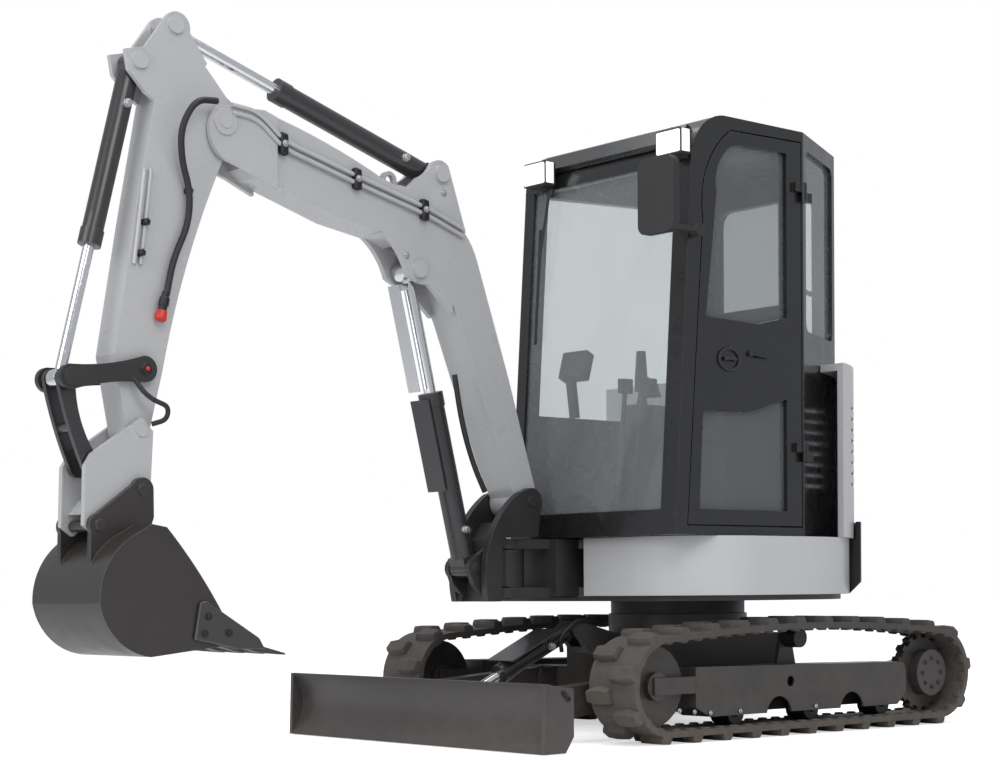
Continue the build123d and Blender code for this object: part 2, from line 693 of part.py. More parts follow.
# Door hinges: knuckles on a pin, one half on the cab and one on the door
door_hinge = (-17, 716)
hinge_zs = (1147, 2206)
hinge_r = 13
hinge_pin_r = 6
knuckle_height = 38
running_gap = 0.3
corner_plane = Plane(origin=(slew_x - 265, 585, 0), x_dir=(-0.898, -0.4395, 0), z_dir=(-0.4395, 0.898, 0))
cab_mid_y = (cab_left_y + cab_right_y) / 2
cab_half = (cab_left_y - cab_right_y) / 2
screen_low = 905
screen_high = 2262
screen_y = (-215, 615)
with BuildPart() as cab_frame:
    with BuildSketch(side_plane(cab_mid_y)):
        with BuildLine():
            add(cab_profile(0, cab_bottom_z, cab_top_z).line)
        make_face()
    extrude(amount=cab_half, both=True)
    with BuildSketch(side_plane(cab_mid_y)):
        with BuildLine():
            add(cab_profile(cab_wall, cab_bottom_z + 40, cab_top_z - 50).line)
        make_face()
    extrude(amount=cab_half - cab_wall, both=True, mode=Mode.SUBTRACT)
    # Rear left corner: a flat panel between the door post and the rear wall
    with BuildSketch(plan_plane(cab_bottom_z)):
        with BuildLine():
            Polyline(corner_out, corner_in, (-520, 470), (-520, 720), (-30, 720), close=True)
        make_face()
    extrude(amount=2000, mode=Mode.SUBTRACT)
    with BuildSketch(plan_plane(cab_bottom_z)):
        with BuildLine():
            Polyline(corner_out, corner_in, (-500, 420), (-460, 440), (-60, 636), (-30, 655), close=True)
        make_face()
    extrude(amount=cab_top_z - cab_bottom_z - 10)
    # Openings: windscreen, door, right window, rear window, corner window
    with BuildSketch(cross_plane(480)):
        with BuildLine():
            Polyline((screen_y[0], screen_low), (screen_y[1], screen_low), (screen_y[1], screen_high),
                     (screen_y[0], screen_high), close=True)
        make_face()
    extrude(amount=400, mode=Mode.SUBTRACT)
    with BuildSketch(side_plane(cab_left_y - 20)):
        with BuildLine():
            add(door_outline(6).line)
        make_face()
    extrude(amount=40, both=True, mode=Mode.SUBTRACT)
    with BuildSketch(side_plane(cab_right_y)):
        with BuildLine():
            Polyline((-420, 1330), (600, 1330), (535, 2260), (-420, 2300), close=True)
        make_face()
    extrude(amount=80, both=True, mode=Mode.SUBTRACT)
    with BuildSketch(cross_plane(cab_rear_x)):
        with Locations((100, 1950)):
            RectangleRounded(560, 700, 60)
    extrude(amount=60, both=True, mode=Mode.SUBTRACT)
    with BuildSketch(corner_plane):
        with Locations((0, 2020)):
            RectangleRounded(440, 740, 40)
    extrude(amount=90, both=True, mode=Mode.SUBTRACT)
    # Room for the engine under the seat base
    with BuildSketch(plan_plane(cab_bottom_z)):
        with BuildLine():
            Polyline((-500, -125), (125, -125), (125, 400), (-500, 400), close=True)
        make_face()
    extrude(amount=340, mode=Mode.SUBTRACT)
    # Rain gutter lip above the windscreen
    with BuildSketch(side_plane(cab_mid_y)):
        with BuildLine():
            Polyline((560, 2400), (620, 2330), (640, 2345), (585, 2412), close=True)
        make_face()
    extrude(amount=cab_half - 60, both=True)
    # Lower half of each door hinge with its pin
    for z in hinge_zs:
        with BuildSketch(plan_plane(z - knuckle_height)):
            with Locations(door_hinge):
                Circle(hinge_r)
            with Locations((door_hinge[0] - 25, (cab_left_y + door_hinge[1]) / 2 - 2)):
                Rectangle(50, door_hinge[1] - cab_left_y + 4)
        extrude(amount=knuckle_height)
        with BuildSketch(plan_plane(z)):
            with Locations(door_hinge):
                Circle(hinge_pin_r)
        extrude(amount=knuckle_height)
finish(cab_frame, "cab_frame")

glass_t = 6
with BuildPart() as cab_glass:
    with BuildSketch(side_plane((screen_y[0] + screen_y[1]) / 2)):
        with BuildLine():
            Polyline((cab_front(screen_low, 18), screen_low), (cab_front(screen_low, 12), screen_low),
                     (cab_front(screen_high, 12), screen_high), (cab_front(screen_high, 18), screen_high),
                     close=True)
        make_face()
    extrude(amount=(screen_y[1] - screen_y[0]) / 2, both=True)
    with BuildSketch(side_plane(cab_right_y + 20)):
        with BuildLine():
            Polyline((-420, 1330), (600, 1330), (535, 2260), (-420, 2300), close=True)
        make_face()
    extrude(amount=glass_t / 2, both=True)
    with BuildSketch(cross_plane(cab_rear_x + 20)):
        with Locations((100, 1950)):
            RectangleRounded(560, 700, 60)
    extrude(amount=glass_t / 2, both=True)
    with BuildSketch(corner_plane.offset(-20)):
        with Locations((0, 2020)):
            RectangleRounded(440, 740, 40)
    extrude(amount=glass_t / 2, both=True)
finish(cab_glass, "cab_glass")

# Door: one leaf as thick as the cab wall, with two windows
with BuildPart() as door:
    with BuildSketch(side_plane(cab_left_y - cab_wall / 2)):
        with BuildLine():
            add(door_outline(0).line)
        make_face()
        with BuildLine():
            add(upper_door_window().line)
        make_face(mode=Mode.SUBTRACT)
        with BuildLine():
            add(lower_door_window().line)
        make_face(mode=Mode.SUBTRACT)
    extrude(amount=cab_wall / 2, both=True)
    # Upper half of each hinge
    for z in hinge_zs:
        with BuildSketch(plan_plane(z + running_gap)):
            with Locations(door_hinge):
                Circle(hinge_r)
            with Locations((door_hinge[0] + 27, (cab_left_y + door_hinge[1]) / 2 - 2)):
                Rectangle(46, door_hinge[1] - cab_left_y + 4)
        extrude(amount=knuckle_height - running_gap)
        with BuildSketch(plan_plane(z)):
            with Locations(door_hinge):
                Circle(hinge_pin_r + running_gap)
        extrude(amount=knuckle_height + 1, mode=Mode.SUBTRACT)
finish(door, "door")

with BuildPart() as door_glass:
    with BuildSketch(side_plane(cab_left_y - cab_wall / 2)):
        with BuildLine():
            add(upper_door_window().line)
        make_face()
        with BuildLine():
            add(lower_door_window().line)
        make_face()
    extrude(amount=glass_t / 2, both=True)
finish(door_glass, "door_glass")

# Seat base: a hollow box over the front of the engine; the seat, the consoles, levers and pedals
seat_base_height = 330
seat_low_z = cab_bottom_z + 40 + seat_base_height + seat_gap
with BuildPart() as seat_base:
    with BuildSketch(plan_plane(cab_bottom_z + 40)):
        with BuildLine():
            Polyline((-455, -150), (150, -150), (150, 430), (-455, 430), close=True)
        make_face()
    extrude(amount=seat_base_height)
    with BuildSketch(plan_plane(cab_bottom_z + 40)):
        with BuildLine():
            Polyline((-455, -125), (125, -125), (125, 405), (-455, 405), close=True)
        make_face()
    extrude(amount=seat_base_height - 25, mode=Mode.SUBTRACT)
finish(seat_base, "seat_base")

with BuildPart() as seat:
    with BuildSketch(plan_plane(seat_low_z)):
        with Locations((-120, 170)):
            RectangleRounded(440, 400, 60)
    extrude(amount=110)
    with BuildSketch(side_plane(170)):
        with BuildLine():
            Polyline((-330, 1286), (-240, 1286), (-320, 1820), (-400, 1820), close=True)
        make_face()
    extrude(amount=190, both=True)
finish(seat, "seat")

console_top_z = 1390
with BuildPart() as consoles:
    for y, half in ((-90, 50), (432, 28)):
        with BuildSketch(side_plane(y)):
            with BuildLine():
                Polyline((-180, seat_low_z), (140, seat_low_z), (190, 1300), (190, console_top_z),
                         (60, console_top_z),
                         (-180, 1365), close=True)
            make_face()
        extrude(amount=half, both=True)
finish(consoles, "consoles")

with BuildPart() as controls:
    # Joysticks on the consoles
    for y in (-90, 432):
        with BuildSketch(plan_plane(console_top_z + seat_gap)):
            with Locations((120, y)):
                RegularPolygon(27, 10)
        extrude(amount=60, taper=12)
        with BuildSketch(plan_plane(1440)):
            with Locations((120, y)):
                RegularPolygon(12, 8)
        extrude(amount=80)
        with BuildSketch(plan_plane(1515)):
            with Locations((124, y)):
                RegularPolygon(28, 10)
        extrude(amount=110, taper=4)
    # Travel levers with plate grips, and the two pedals
    for y in (110, 210):
        with BuildSketch(side_plane(y)):
            with BuildLine():
                Polyline((470, 860), (484, 860), (424, 1420), (410, 1420), close=True)
            make_face()
        extrude(amount=7, both=True)
        with BuildSketch(side_plane(y)):
            with Locations((415, 1440)):
                Rectangle(60, 60)
        extrude(amount=14, both=True)
    for y in (80, 240):
        with BuildSketch(side_plane(y)):
            with BuildLine():
                Polyline((440, 845), (560, 845), (560, 862), (520, 905), (505, 900), (440, 870), close=True)
            make_face()
        extrude(amount=55, both=True)
finish(controls, "controls")

with BuildPart() as monitor:
    with BuildSketch(side_plane(-170)):
        with BuildLine():
            Polyline((430, 1480), (470, 1500), (440, 1610), (400, 1590), close=True)
        make_face()
    extrude(amount=75, both=True)
    with BuildSketch(side_plane(-205)):
        with BuildLine():
            Polyline((400, 1330), (425, 1330), (445, 1490), (420, 1490), close=True)
        make_face()
    extrude(amount=20, both=True)
finish(monitor, "monitor")

# Work lamps on the front roof edge
lamp_back_x = 652
lamp_front_x = 703
lamp_foot_z = screen_high + 4
lamp_foot_x = cab_front(2250) + seat_gap
with BuildPart() as lamps:
    for y in (655, -125):
        with BuildSketch(cross_plane(lamp_back_x)):
            with Locations((y, 2322)):
                RectangleRounded(142, 100, 14)
        extrude(amount=lamp_front_x - lamp_back_x)
        with BuildSketch(cross_plane(lamp_foot_x)):
            with Locations((y, lamp_foot_z + 14)):
                Rectangle(60, 28)
        extrude(amount=lamp_front_x - 20 - lamp_foot_x)
finish(lamps, "work_lamps")

# Mirror on a bent rod from the left front pillar
mirror_y = 710
mirror_rod_y = 735
with BuildPart() as mirror:
    with BuildSketch(cross_plane(800)):
        with Locations((mirror_y, 2095)):
            RectangleRounded(190, 290, 40)
    extrude(amount=35)
    with BuildSketch(side_plane(mirror_rod_y)):
        with BuildLine():
            Polyline((615, 1972), (615, 1992), (776, 1992), (782, 2120), (806, 2120), (800, 1972), close=True)
        make_face()
    extrude(amount=9, both=True)
    with BuildSketch(side_plane((cab_left_y + seat_gap + mirror_rod_y + 9) / 2)):
        with Locations((620, 1982)):
            Circle(24)
    extrude(amount=(mirror_rod_y + 9 - cab_left_y - seat_gap) / 2, both=True)
finish(mirror, "mirror")

# Swing post: kingpin barrel, ears for the boom foot, front ears for the boom cylinder
ear_gap = 5
ear_t = 32
foot_pin_r = 22
with BuildPart() as swing_post:
    with BuildSketch(plan_plane(607)):
        with Locations(kingpin):
            Circle(88)
        with Locations((kingpin[0] + 60, boom_y)):
            Rectangle(110, 150)
    extrude(amount=150)
    with BuildSketch(plan_plane(556)):
        with Locations(kingpin):
            Circle(kingpin_r)
    extrude(amount=248)
    # Front body down to the lower edge, and the upper body between the ears
    with BuildSketch(side_plane(boom_y)):
        with BuildLine():
            Polyline((1000, 548), (1045, 548), (1045, 620), (1018, 680), (1012, 800), (950, 870),
                     (920, 870), (920, 808),
                     (997, 808), (1000, 760), close=True)
        make_face()
    extrude(amount=boom_half - 5, both=True)
    # Clevis of the boom swing cylinder on the right
    for z in (612, 650):
        with BuildSketch(plan_plane(z)):
            with BuildLine():
                Polyline((1010, boom_y - 70), (925, boom_y - 75), (950, boom_y - 128), (975, boom_y - 142),
                         (998, boom_y - 130), close=True)
            make_face()
        extrude(amount=18)
    for side in (1, -1):
        ear_y = boom_y + side * (boom_half + ear_gap + ear_t / 2)
        with BuildSketch(side_plane(ear_y)):
            with BuildLine():
                Line((1010, 548), (1078, 548))
                ThreePointArc((1078, 548), (1066, 790), (905, 990))
                Line((905, 990), (foot_pin[0], foot_pin[1] + 55))
                Line((foot_pin[0], foot_pin[1] + 55), (foot_pin[0] - 55, foot_pin[1]))
                Line((foot_pin[0] - 55, foot_pin[1]), (foot_pin[0] - 30, 812))
                Line((foot_pin[0] - 30, 812), (980, 806))
                Line((980, 806), (1000, 760))
                Line((1000, 760), (1010, 548))
            make_face()
            with Locations(foot_pin):
                Circle(55)
        extrude(amount=ear_t / 2, both=True)
        # Join each ear to the post body
        with BuildSketch(side_plane(boom_y + side * 82)):
            with BuildLine():
                Polyline((1012, 548), (1072, 548), (1060, 758), (1010, 850), (995, 840), (1012, 760),
                         close=True)
            make_face()
        extrude(amount=20, both=True)
        # Front ears of the boom cylinder
        with BuildSketch(side_plane(boom_y + side * 64)):
            with BuildLine():
                Polyline((1040, 556), (1060, 560), (1120, 620), (boom_cyl_low[0] + 42, boom_cyl_low[1]),
                         (boom_cyl_low[0] + 25, boom_cyl_low[1] + 36), (1060, 760), (1020, 760), close=True)
            make_face()
            with Locations(boom_cyl_low):
                Circle(42)
        extrude(amount=12, both=True)
    with BuildSketch(side_plane(boom_y)):
        with Locations(boom_cyl_low):
            Circle(small_pin_r)
    extrude(amount=80, both=True)
    with BuildSketch(side_plane(boom_y)):
        with Locations(foot_pin):
            Circle(foot_pin_r)
    extrude(amount=boom_half + ear_gap + ear_t + 8, both=True)
finish(swing_post, "swing_post")

# Boom: box section bent in the middle, fork at the nose, gussets for the cylinders
nose_pin_r = 25
nose_box_x = 2172
lift_eye = (1478, 2200)
lift_eye_r = 19
lift_eye_plate = 24
# Pocket between the gussets, in which the rod eye of the boom cylinder moves
pocket_r = 118
pocket_half = 53
with BuildPart() as boom:
    with BuildSketch(side_plane(boom_y)):
        with BuildLine():
            Line((nose_box_x, 2348), (2113, 2360))
            ThreePointArc((2113, 2360), (1850, 2290), (1570, 2186))
            Line((1570, 2186), (1290, 2100))
            ThreePointArc((1290, 2100), (1161, 2023), (1093, 1914))
            Line((1093, 1914), (927, 1443))
            Line((927, 1443), (860, 1229))
            Line((860, 1229), (foot_pin[0] - 60, foot_pin[1] + 20))
            ThreePointArc((foot_pin[0] - 60, foot_pin[1] + 20), (foot_pin[0] - 6, foot_pin[1] - 62),
                          (foot_pin[0] + 58, foot_pin[1] + 18))
            Line((foot_pin[0] + 58, foot_pin[1] + 18), (965, 1105))
            Line((965, 1105), (1190, 1670))
            Line((1190, 1670), (1277, 1842))
            ThreePointArc((1277, 1842), (1345, 1897), (1456, 1939))
            Line((1456, 1939), (1563, 1978))
            Line((1563, 1978), (1763, 2010))
            Line((1763, 2010), (2125, 2120))
            Line((2125, 2120), (nose_box_x, 2155))
            Line((nose_box_x, 2155), (nose_box_x, 2348))
        make_face()
        with Locations(foot_pin):
            Circle(foot_pin_r + 0.05, mode=Mode.SUBTRACT)
    extrude(amount=boom_half, both=True)
    with BuildSketch(side_plane(boom_y)):
        with Locations(boom_cyl_top):
            Circle(pocket_r)
    extrude(amount=pocket_half, both=True, mode=Mode.SUBTRACT)
    for side in (1, -1):
        # Nose fork plates with the bosses of the arm pin
        with BuildSketch(side_plane(boom_y + side * (boom_half + 1))):
            with BuildLine():
                Line((2060, 2080), (2180, 2130))
                Line((2180, 2130), (2300, 2166))
                ThreePointArc((2300, 2166), (2350, 2240), (nose_pin[0] + 20, nose_pin[1] + 60))
                Line((nose_pin[0] + 20, nose_pin[1] + 60), (2113, 2362))
                Line((2113, 2362), (2060, 2344))
                Line((2060, 2344), (2060, 2080))
            make_face()
        extrude(amount=11, both=True)
        with BuildSketch(side_plane(boom_y + side * (boom_half + 12))):
            with Locations(nose_pin):
                Circle(48)
        extrude(amount=8, both=True)
        # Bracket for the rear of the arm cylinder
        with BuildSketch(side_plane(boom_y + side * (boom_half - 12))):
            with BuildLine():
                Line((1560, 2140), (1540, 2170))
                Line((1540, 2170), (1440, 2166))
                Line((1440, 2166), (1393, 2210))
                ThreePointArc((1393, 2210), (1345, 2240), (1319, 2276))
                ThreePointArc((1319, 2276), (arm_cyl_rear[0] - 3, arm_cyl_rear[1] + 52), (1236, 2271))
                Line((1236, 2271), (1150, 2020))
                Line((1150, 2020), (1300, 2060))
                Line((1300, 2060), (1560, 2140))
            make_face()
        extrude(amount=12, both=True)
        # Gusset for the rod of the boom cylinder
        with BuildSketch(side_plane(boom_y + side * (boom_half - 12))):
            with BuildLine():
                Line((1562, 1990), (1562, 1979))
                ThreePointArc((1562, 1979), (1492, 1914), (1446, 1826))
                ThreePointArc((1446, 1826), (boom_cyl_top[0], boom_cyl_top[1] - 50), (1340, 1796))
                Line((1340, 1796), (1220, 1690))
                Line((1220, 1690), (1220, 1760))
                Line((1220, 1760), (1290, 1900))
                Line((1290, 1900), (1450, 1990))
                Line((1450, 1990), (1562, 1990))
            make_face()
        extrude(amount=12, both=True)
        # Pin ends of the two cylinders
        with BuildSketch(side_plane(boom_y + side * (boom_half + 4))):
            with Locations(arm_cyl_rear):
                Circle(34)
        extrude(amount=12, both=True)
        with BuildSketch(side_plane(boom_y + side * (boom_half + 4))):
            with Locations(boom_cyl_top):
                Circle(34)
        extrude(amount=12, both=True)
    with BuildSketch(side_plane(boom_y)):
        with Locations(nose_pin):
            Circle(nose_pin_r)
    extrude(amount=boom_half + 24, both=True)
    with BuildSketch(side_plane(boom_y)):
        with Locations(arm_cyl_rear):
            Circle(small_pin_r)
    extrude(amount=boom_half, both=True)
    # Lifting eye on the boom's back
    with BuildSketch(side_plane(boom_y)):
        with BuildLine():
            Line((1400, 2128), (lift_eye[0] - 34, lift_eye[1] - 2))
            ThreePointArc((lift_eye[0] - 34, lift_eye[1] - 2), (lift_eye[0], lift_eye[1] + 34),
                          (lift_eye[0] + 34, lift_eye[1] + 2))
            Line((lift_eye[0] + 34, lift_eye[1] + 2), (1545, 2170))
            Line((1545, 2170), (1400, 2128))
        make_face()
        with Locations(lift_eye):
            Circle(lift_eye_r, mode=Mode.SUBTRACT)
    extrude(amount=lift_eye_plate / 2, both=True)
finish(boom, "boom")

# Arm: box section with head plates, pivot boss and bucket cylinder bracket
tip_pin_r = 22
with BuildPart() as arm:
    with BuildSketch(side_plane(boom_y)):
        with BuildLine():
            Line((2380, 2520), (2262, 2390))
            ThreePointArc((2262, 2390), (nose_pin[0] - 78, nose_pin[1] - 8), (2250, 2228))
            ThreePointArc((2250, 2228), (2416, 1835), (2545, 1380))
            Line((2545, 1380), (2600, 1170))
            ThreePointArc((2600, 1170), (tip_pin[0], tip_pin[1] - 46), (2694, 1175))
            Line((2694, 1175), (2739, 1430))
            Line((2739, 1430), (2653, 1896))
            Line((2653, 1896), (2560, 2360))
            Line((2560, 2360), (2545, 2420))
            Line((2545, 2420), (2480, 2500))
            Line((2480, 2500), (2380, 2520))
        make_face()
        with Locations(nose_pin):
            Circle(nose_pin_r + 0.05, mode=Mode.SUBTRACT)
        with Locations(tip_pin, rocker_pin):
            Circle(tip_pin_r + 0.05, mode=Mode.SUBTRACT)
    extrude(amount=arm_half, both=True)
    for side in (1, -1):
        # Head plates that hold the arm cylinder and the bucket cylinder
        with BuildSketch(side_plane(boom_y + side * (arm_half - 10))):
            with BuildLine():
                Line((2344, 2500), (2415, 2600))
                ThreePointArc((2415, 2600), (arm_cyl_front[0] - 12, arm_cyl_front[1] + 48), (2514, 2640))
                Line((2514, 2640), (2601, 2520))
                Line((2601, 2520), (2680, 2500))
                Line((2680, 2500), (2668, 2430))
                Line((2668, 2430), (2600, 2360))
                Line((2600, 2360), (2500, 2300))
                Line((2500, 2300), (2344, 2500))
            make_face()
        extrude(amount=10, both=True)
        with BuildSketch(side_plane(boom_y + side * (arm_half - 2))):
            with Locations(arm_cyl_front, bucket_cyl_top):
                Circle(32)
        extrude(amount=14, both=True)
    with BuildSketch(side_plane(boom_y)):
        with Locations(bucket_cyl_top):
            Circle(small_pin_r)
    extrude(amount=arm_half, both=True)
finish(arm, "arm")

# Cylinders of the boom, the arm and the bucket
boom_cyl_closed = 800
arm_cyl_closed = 850
bucket_cyl_closed = 760
boom_guards = ((330, 700, -58, 56), (735, 1160, -74, 34))
make_cylinder(boom_cyl_low, boom_cyl_top, boom_y, boom_cyl_closed, 46, 25, 38, 47,
              ("boom_barrel", "boom_rod"),
              boom_guards)
make_cylinder(arm_cyl_rear, arm_cyl_front, boom_y, arm_cyl_closed, 42, 22, 36, 40, ("arm_barrel", "arm_rod"))
make_cylinder(bucket_cyl_top, rod_pin, boom_y, bucket_cyl_closed, 38, 20, 34, 30,
              ("bucket_barrel", "bucket_rod"))

# Rocker: two waisted plates outside the arm, joined by the rod pin bosses
rocker_length = span(rocker_pin, rod_pin)
side_gap = 5
rocker_plate = 22
rocker_y = arm_half + side_gap + rocker_plate / 2
with BuildPart() as rocker:
    for side in (1, -1):
        with BuildSketch(side_plane(boom_y + side * rocker_y)):
            with BuildLine():
                ThreePointArc(along(rocker_pin, rod_pin, 0, 46), along(rocker_pin, rod_pin, -46, 0),
                              along(rocker_pin, rod_pin, 0, -46))
                ThreePointArc(along(rocker_pin, rod_pin, 0, -46),
                              along(rocker_pin, rod_pin, rocker_length / 2, -33),
                              along(rocker_pin, rod_pin, rocker_length, -44))
                ThreePointArc(along(rocker_pin, rod_pin, rocker_length, -44),
                              along(rocker_pin, rod_pin, rocker_length + 44, 0),
                              along(rocker_pin, rod_pin, rocker_length, 44))
                ThreePointArc(along(rocker_pin, rod_pin, rocker_length, 44),
                              along(rocker_pin, rod_pin, rocker_length / 2, 33),
                              along(rocker_pin, rod_pin, 0, 46))
            make_face()
        extrude(amount=rocker_plate / 2, both=True)
        with BuildSketch(side_plane(boom_y + side * (rocker_y + 6))):
            with Locations(rod_pin):
                Circle(30)
        extrude(amount=rocker_plate / 2, both=True)
        with BuildSketch(side_plane(boom_y + side * (arm_half + 5))):
            with Locations(rod_pin):
                Circle(small_pin_r)
        extrude(amount=30, both=True)
    with BuildSketch(side_plane(boom_y)):
        with Locations(rocker_pin):
            Circle(tip_pin_r)
    extrude(amount=rocker_y + rocker_plate / 2 + 6, both=True)
finish(rocker, "rocker")

# Link from the rod pin down to the coupler, hollowed on the side towards the arm
link_half = arm_half - 6
link_plate = 20
link_length = span(rod_pin, link_pin)
with BuildPart() as link:
    for side in (1, -1):
        with BuildSketch(side_plane(boom_y + side * (link_half - link_plate / 2))):
            with BuildLine():
                ThreePointArc(along(rod_pin, link_pin, 0, 36), along(rod_pin, link_pin, -36, 0),
                              along(rod_pin, link_pin, 0, -36))
                ThreePointArc(along(rod_pin, link_pin, 0, -36), along(rod_pin, link_pin, link_length / 2, -6),
                              along(rod_pin, link_pin, link_length, -36))
                ThreePointArc(along(rod_pin, link_pin, link_length, -36),
                              along(rod_pin, link_pin, link_length + 36, 0),
                              along(rod_pin, link_pin, link_length, 36))
                ThreePointArc(along(rod_pin, link_pin, link_length, 36),
                              along(rod_pin, link_pin, link_length / 2, 44),
                              along(rod_pin, link_pin, 0, 36))
            make_face()
            with Locations(rod_pin):
                Circle(small_bore_r, mode=Mode.SUBTRACT)
        extrude(amount=link_plate / 2, both=True)
    with BuildSketch(side_plane(boom_y)):
        with Locations(along(rod_pin, link_pin, link_length / 2 + 10, 22)):
            RegularPolygon(18, 12)
    extrude(amount=link_half - link_plate, both=True)
finish(link, "bucket_link")

# Quick coupler between the arm tip and the bucket ears
coupler_plate = 24
coupler_y = arm_half + side_gap + coupler_plate / 2
bucket_pin_r = 20
with BuildPart() as coupler:
    for side in (1, -1):
        with BuildSketch(side_plane(boom_y + side * coupler_y)):
            with BuildLine():
                Polyline((tip_pin[0] - 46, tip_pin[1]), (tip_pin[0], tip_pin[1] + 46),
                         (link_pin[0] + 20, link_pin[1] + 44),
                         (link_pin[0] + 48, link_pin[1]), (ear_pin_rear[0] + 48, ear_pin_rear[1]),
                         (ear_pin_rear[0], ear_pin_rear[1] - 34), (ear_pin_front[0], ear_pin_front[1] - 34),
                         (ear_pin_front[0] - 44, ear_pin_front[1]), close=True)
            make_face()
            with Locations(ear_pin_front, ear_pin_rear):
                Circle(bucket_pin_r + seat_gap, mode=Mode.SUBTRACT)
        extrude(amount=coupler_plate / 2, both=True)
        with BuildSketch(side_plane(boom_y + side * (arm_half + 2))):
            with Locations(link_pin):
                Circle(18)
        extrude(amount=4, both=True)
    with BuildSketch(side_plane(boom_y)):
        with BuildLine():
            Polyline((ear_pin_front[0] - 20, ear_pin_front[1] + 60),
                     (ear_pin_rear[0] - 20, ear_pin_rear[1] + 90),
                     (ear_pin_rear[0] + 20, ear_pin_rear[1] + 40),
                     (ear_pin_front[0] + 10, ear_pin_front[1] + 25),
                     close=True)
        make_face()
    extrude(amount=arm_half + 10, both=True)
    with BuildSketch(side_plane(boom_y)):
        with Locations(tip_pin):
            Circle(22)
    extrude(amount=arm_half + 34, both=True)
finish(coupler, "quick_coupler")

# Bucket: curved shell, side plates, ears with their pins
bucket_skin = 12
bucket_side = 14
bucket_middle = (2640, 590)
bucket_round = ((2757, 800), (2872, 692), (2905, 560), (2852, 448), (2707, 373))
bucket_lip = (2361, 410)
ear_plate = 22
ear_y = arm_half + side_gap + coupler_plate + 3 + ear_plate / 2


def inward(point):
    # The point moved by the skin's thickness towards the middle of the bucket
    gap = span(point, bucket_middle)
    t = bucket_skin / gap
    return (point[0] + (bucket_middle[0] - point[0]) * t, point[1] + (bucket_middle[1] - point[1]) * t)


inner_round = tuple(inward(point) for point in bucket_round)
lip_inside = (bucket_lip[0] + 3, bucket_lip[1] + bucket_skin)
with BuildPart() as bucket:
    with BuildSketch(side_plane(boom_y)):
        with BuildLine():
            ThreePointArc(bucket_round[0], bucket_round[1], bucket_round[2])
            ThreePointArc(bucket_round[2], bucket_round[3], bucket_round[4])
            Line(bucket_round[4], bucket_lip)
            Line(bucket_lip, lip_inside)
            Line(lip_inside, inner_round[4])
            ThreePointArc(inner_round[4], inner_round[3], inner_round[2])
            ThreePointArc(inner_round[2], inner_round[1], inner_round[0])
            Line(inner_round[0], bucket_round[0])
        make_face()
    extrude(amount=bucket_half, both=True)
    for side in (1, -1):
        with BuildSketch(side_plane(boom_y + side * (bucket_half - bucket_side / 2))):
            with BuildLine():
                ThreePointArc(bucket_round[0], bucket_round[1], bucket_round[2])
                ThreePointArc(bucket_round[2], bucket_round[3], bucket_round[4])
                Line(bucket_round[4], bucket_lip)
                Line(bucket_lip, (2372, 442))
                ThreePointArc((2372, 442), (2480, 620), (2640, 822))
                Line((2640, 822), (2700, 832))
                Line((2700, 832), bucket_round[0])
            make_face()
        extrude(amount=bucket_side / 2, both=True)
        # Ears on the bucket top
        with BuildSketch(side_plane(boom_y + side * ear_y)):
            with BuildLine():
                Line((2618, 860), (ear_pin_front[0] - 42, ear_pin_front[1]))
                ThreePointArc((ear_pin_front[0] - 42, ear_pin_front[1]),
                              (ear_pin_front[0], ear_pin_front[1] + 42),
                              (ear_pin_front[0] + 38, ear_pin_front[1] + 18))
                Line((ear_pin_front[0] + 38, ear_pin_front[1] + 18),
                     (ear_pin_rear[0] + 10, ear_pin_rear[1] + 41))
                ThreePointArc((ear_pin_rear[0] + 10, ear_pin_rear[1] + 41),
                              (ear_pin_rear[0] + 42, ear_pin_rear[1]),
                              (ear_pin_rear[0] + 36, ear_pin_rear[1] - 22))
                Line((ear_pin_rear[0] + 36, ear_pin_rear[1] - 22), (2872, 692))
                Line((2872, 692), (2780, 770))
                Line((2780, 770), (2700, 800))
                Line((2700, 800), (2640, 800))
                Line((2640, 800), (2618, 860))
            make_face()
        extrude(amount=ear_plate / 2, both=True)
    with BuildSketch(side_plane(boom_y)):
        with BuildLine():
            Polyline((2640, 800), (2640, 822), (2700, 832), bucket_round[0], inner_round[0], (2700, 812),
                     close=True)
        make_face()
    extrude(amount=bucket_half, both=True)
    with BuildSketch(side_plane(boom_y)):
        with Locations(ear_pin_front, ear_pin_rear):
            Circle(bucket_pin_r)
    extrude(amount=ear_y + ear_plate / 2 + 8, both=True)
finish(bucket, "bucket")

# Four teeth with adapters that sit on the inside of the lip
tooth_count = 4
tooth_margin = 40
tooth_half = 24
lip_slope = (inner_round[4][1] - lip_inside[1]) / (inner_round[4][0] - lip_inside[0])


def above_lip(x):
    return lip_inside[1] + (x - lip_inside[0]) * lip_slope + seat_gap


with BuildPart() as teeth:
    tooth_step = (2 * bucket_half - 2 * tooth_margin) / (tooth_count - 1)
    for i in range(tooth_count):
        tooth_y = boom_y - bucket_half + tooth_margin + i * tooth_step
        with BuildSketch(side_plane(tooth_y)):
            with BuildLine():
                Polyline((2140, 372), (2250, 402), (2350, 446), (2430, 434), (2490, above_lip(2490) + 5),
                         (2490, above_lip(2490)), (lip_inside[0], above_lip(lip_inside[0])),
                         (bucket_lip[0] - 3, lip_inside[1]), (bucket_lip[0] - 4, bucket_lip[1] - 4),
                         (2250, 376),
                         (2140, 366), close=True)
            make_face()
        extrude(amount=tooth_half, both=True)
finish(teeth, "bucket_teeth")
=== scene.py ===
import math
import bmesh
import bpy
from mathutils import Matrix, Vector


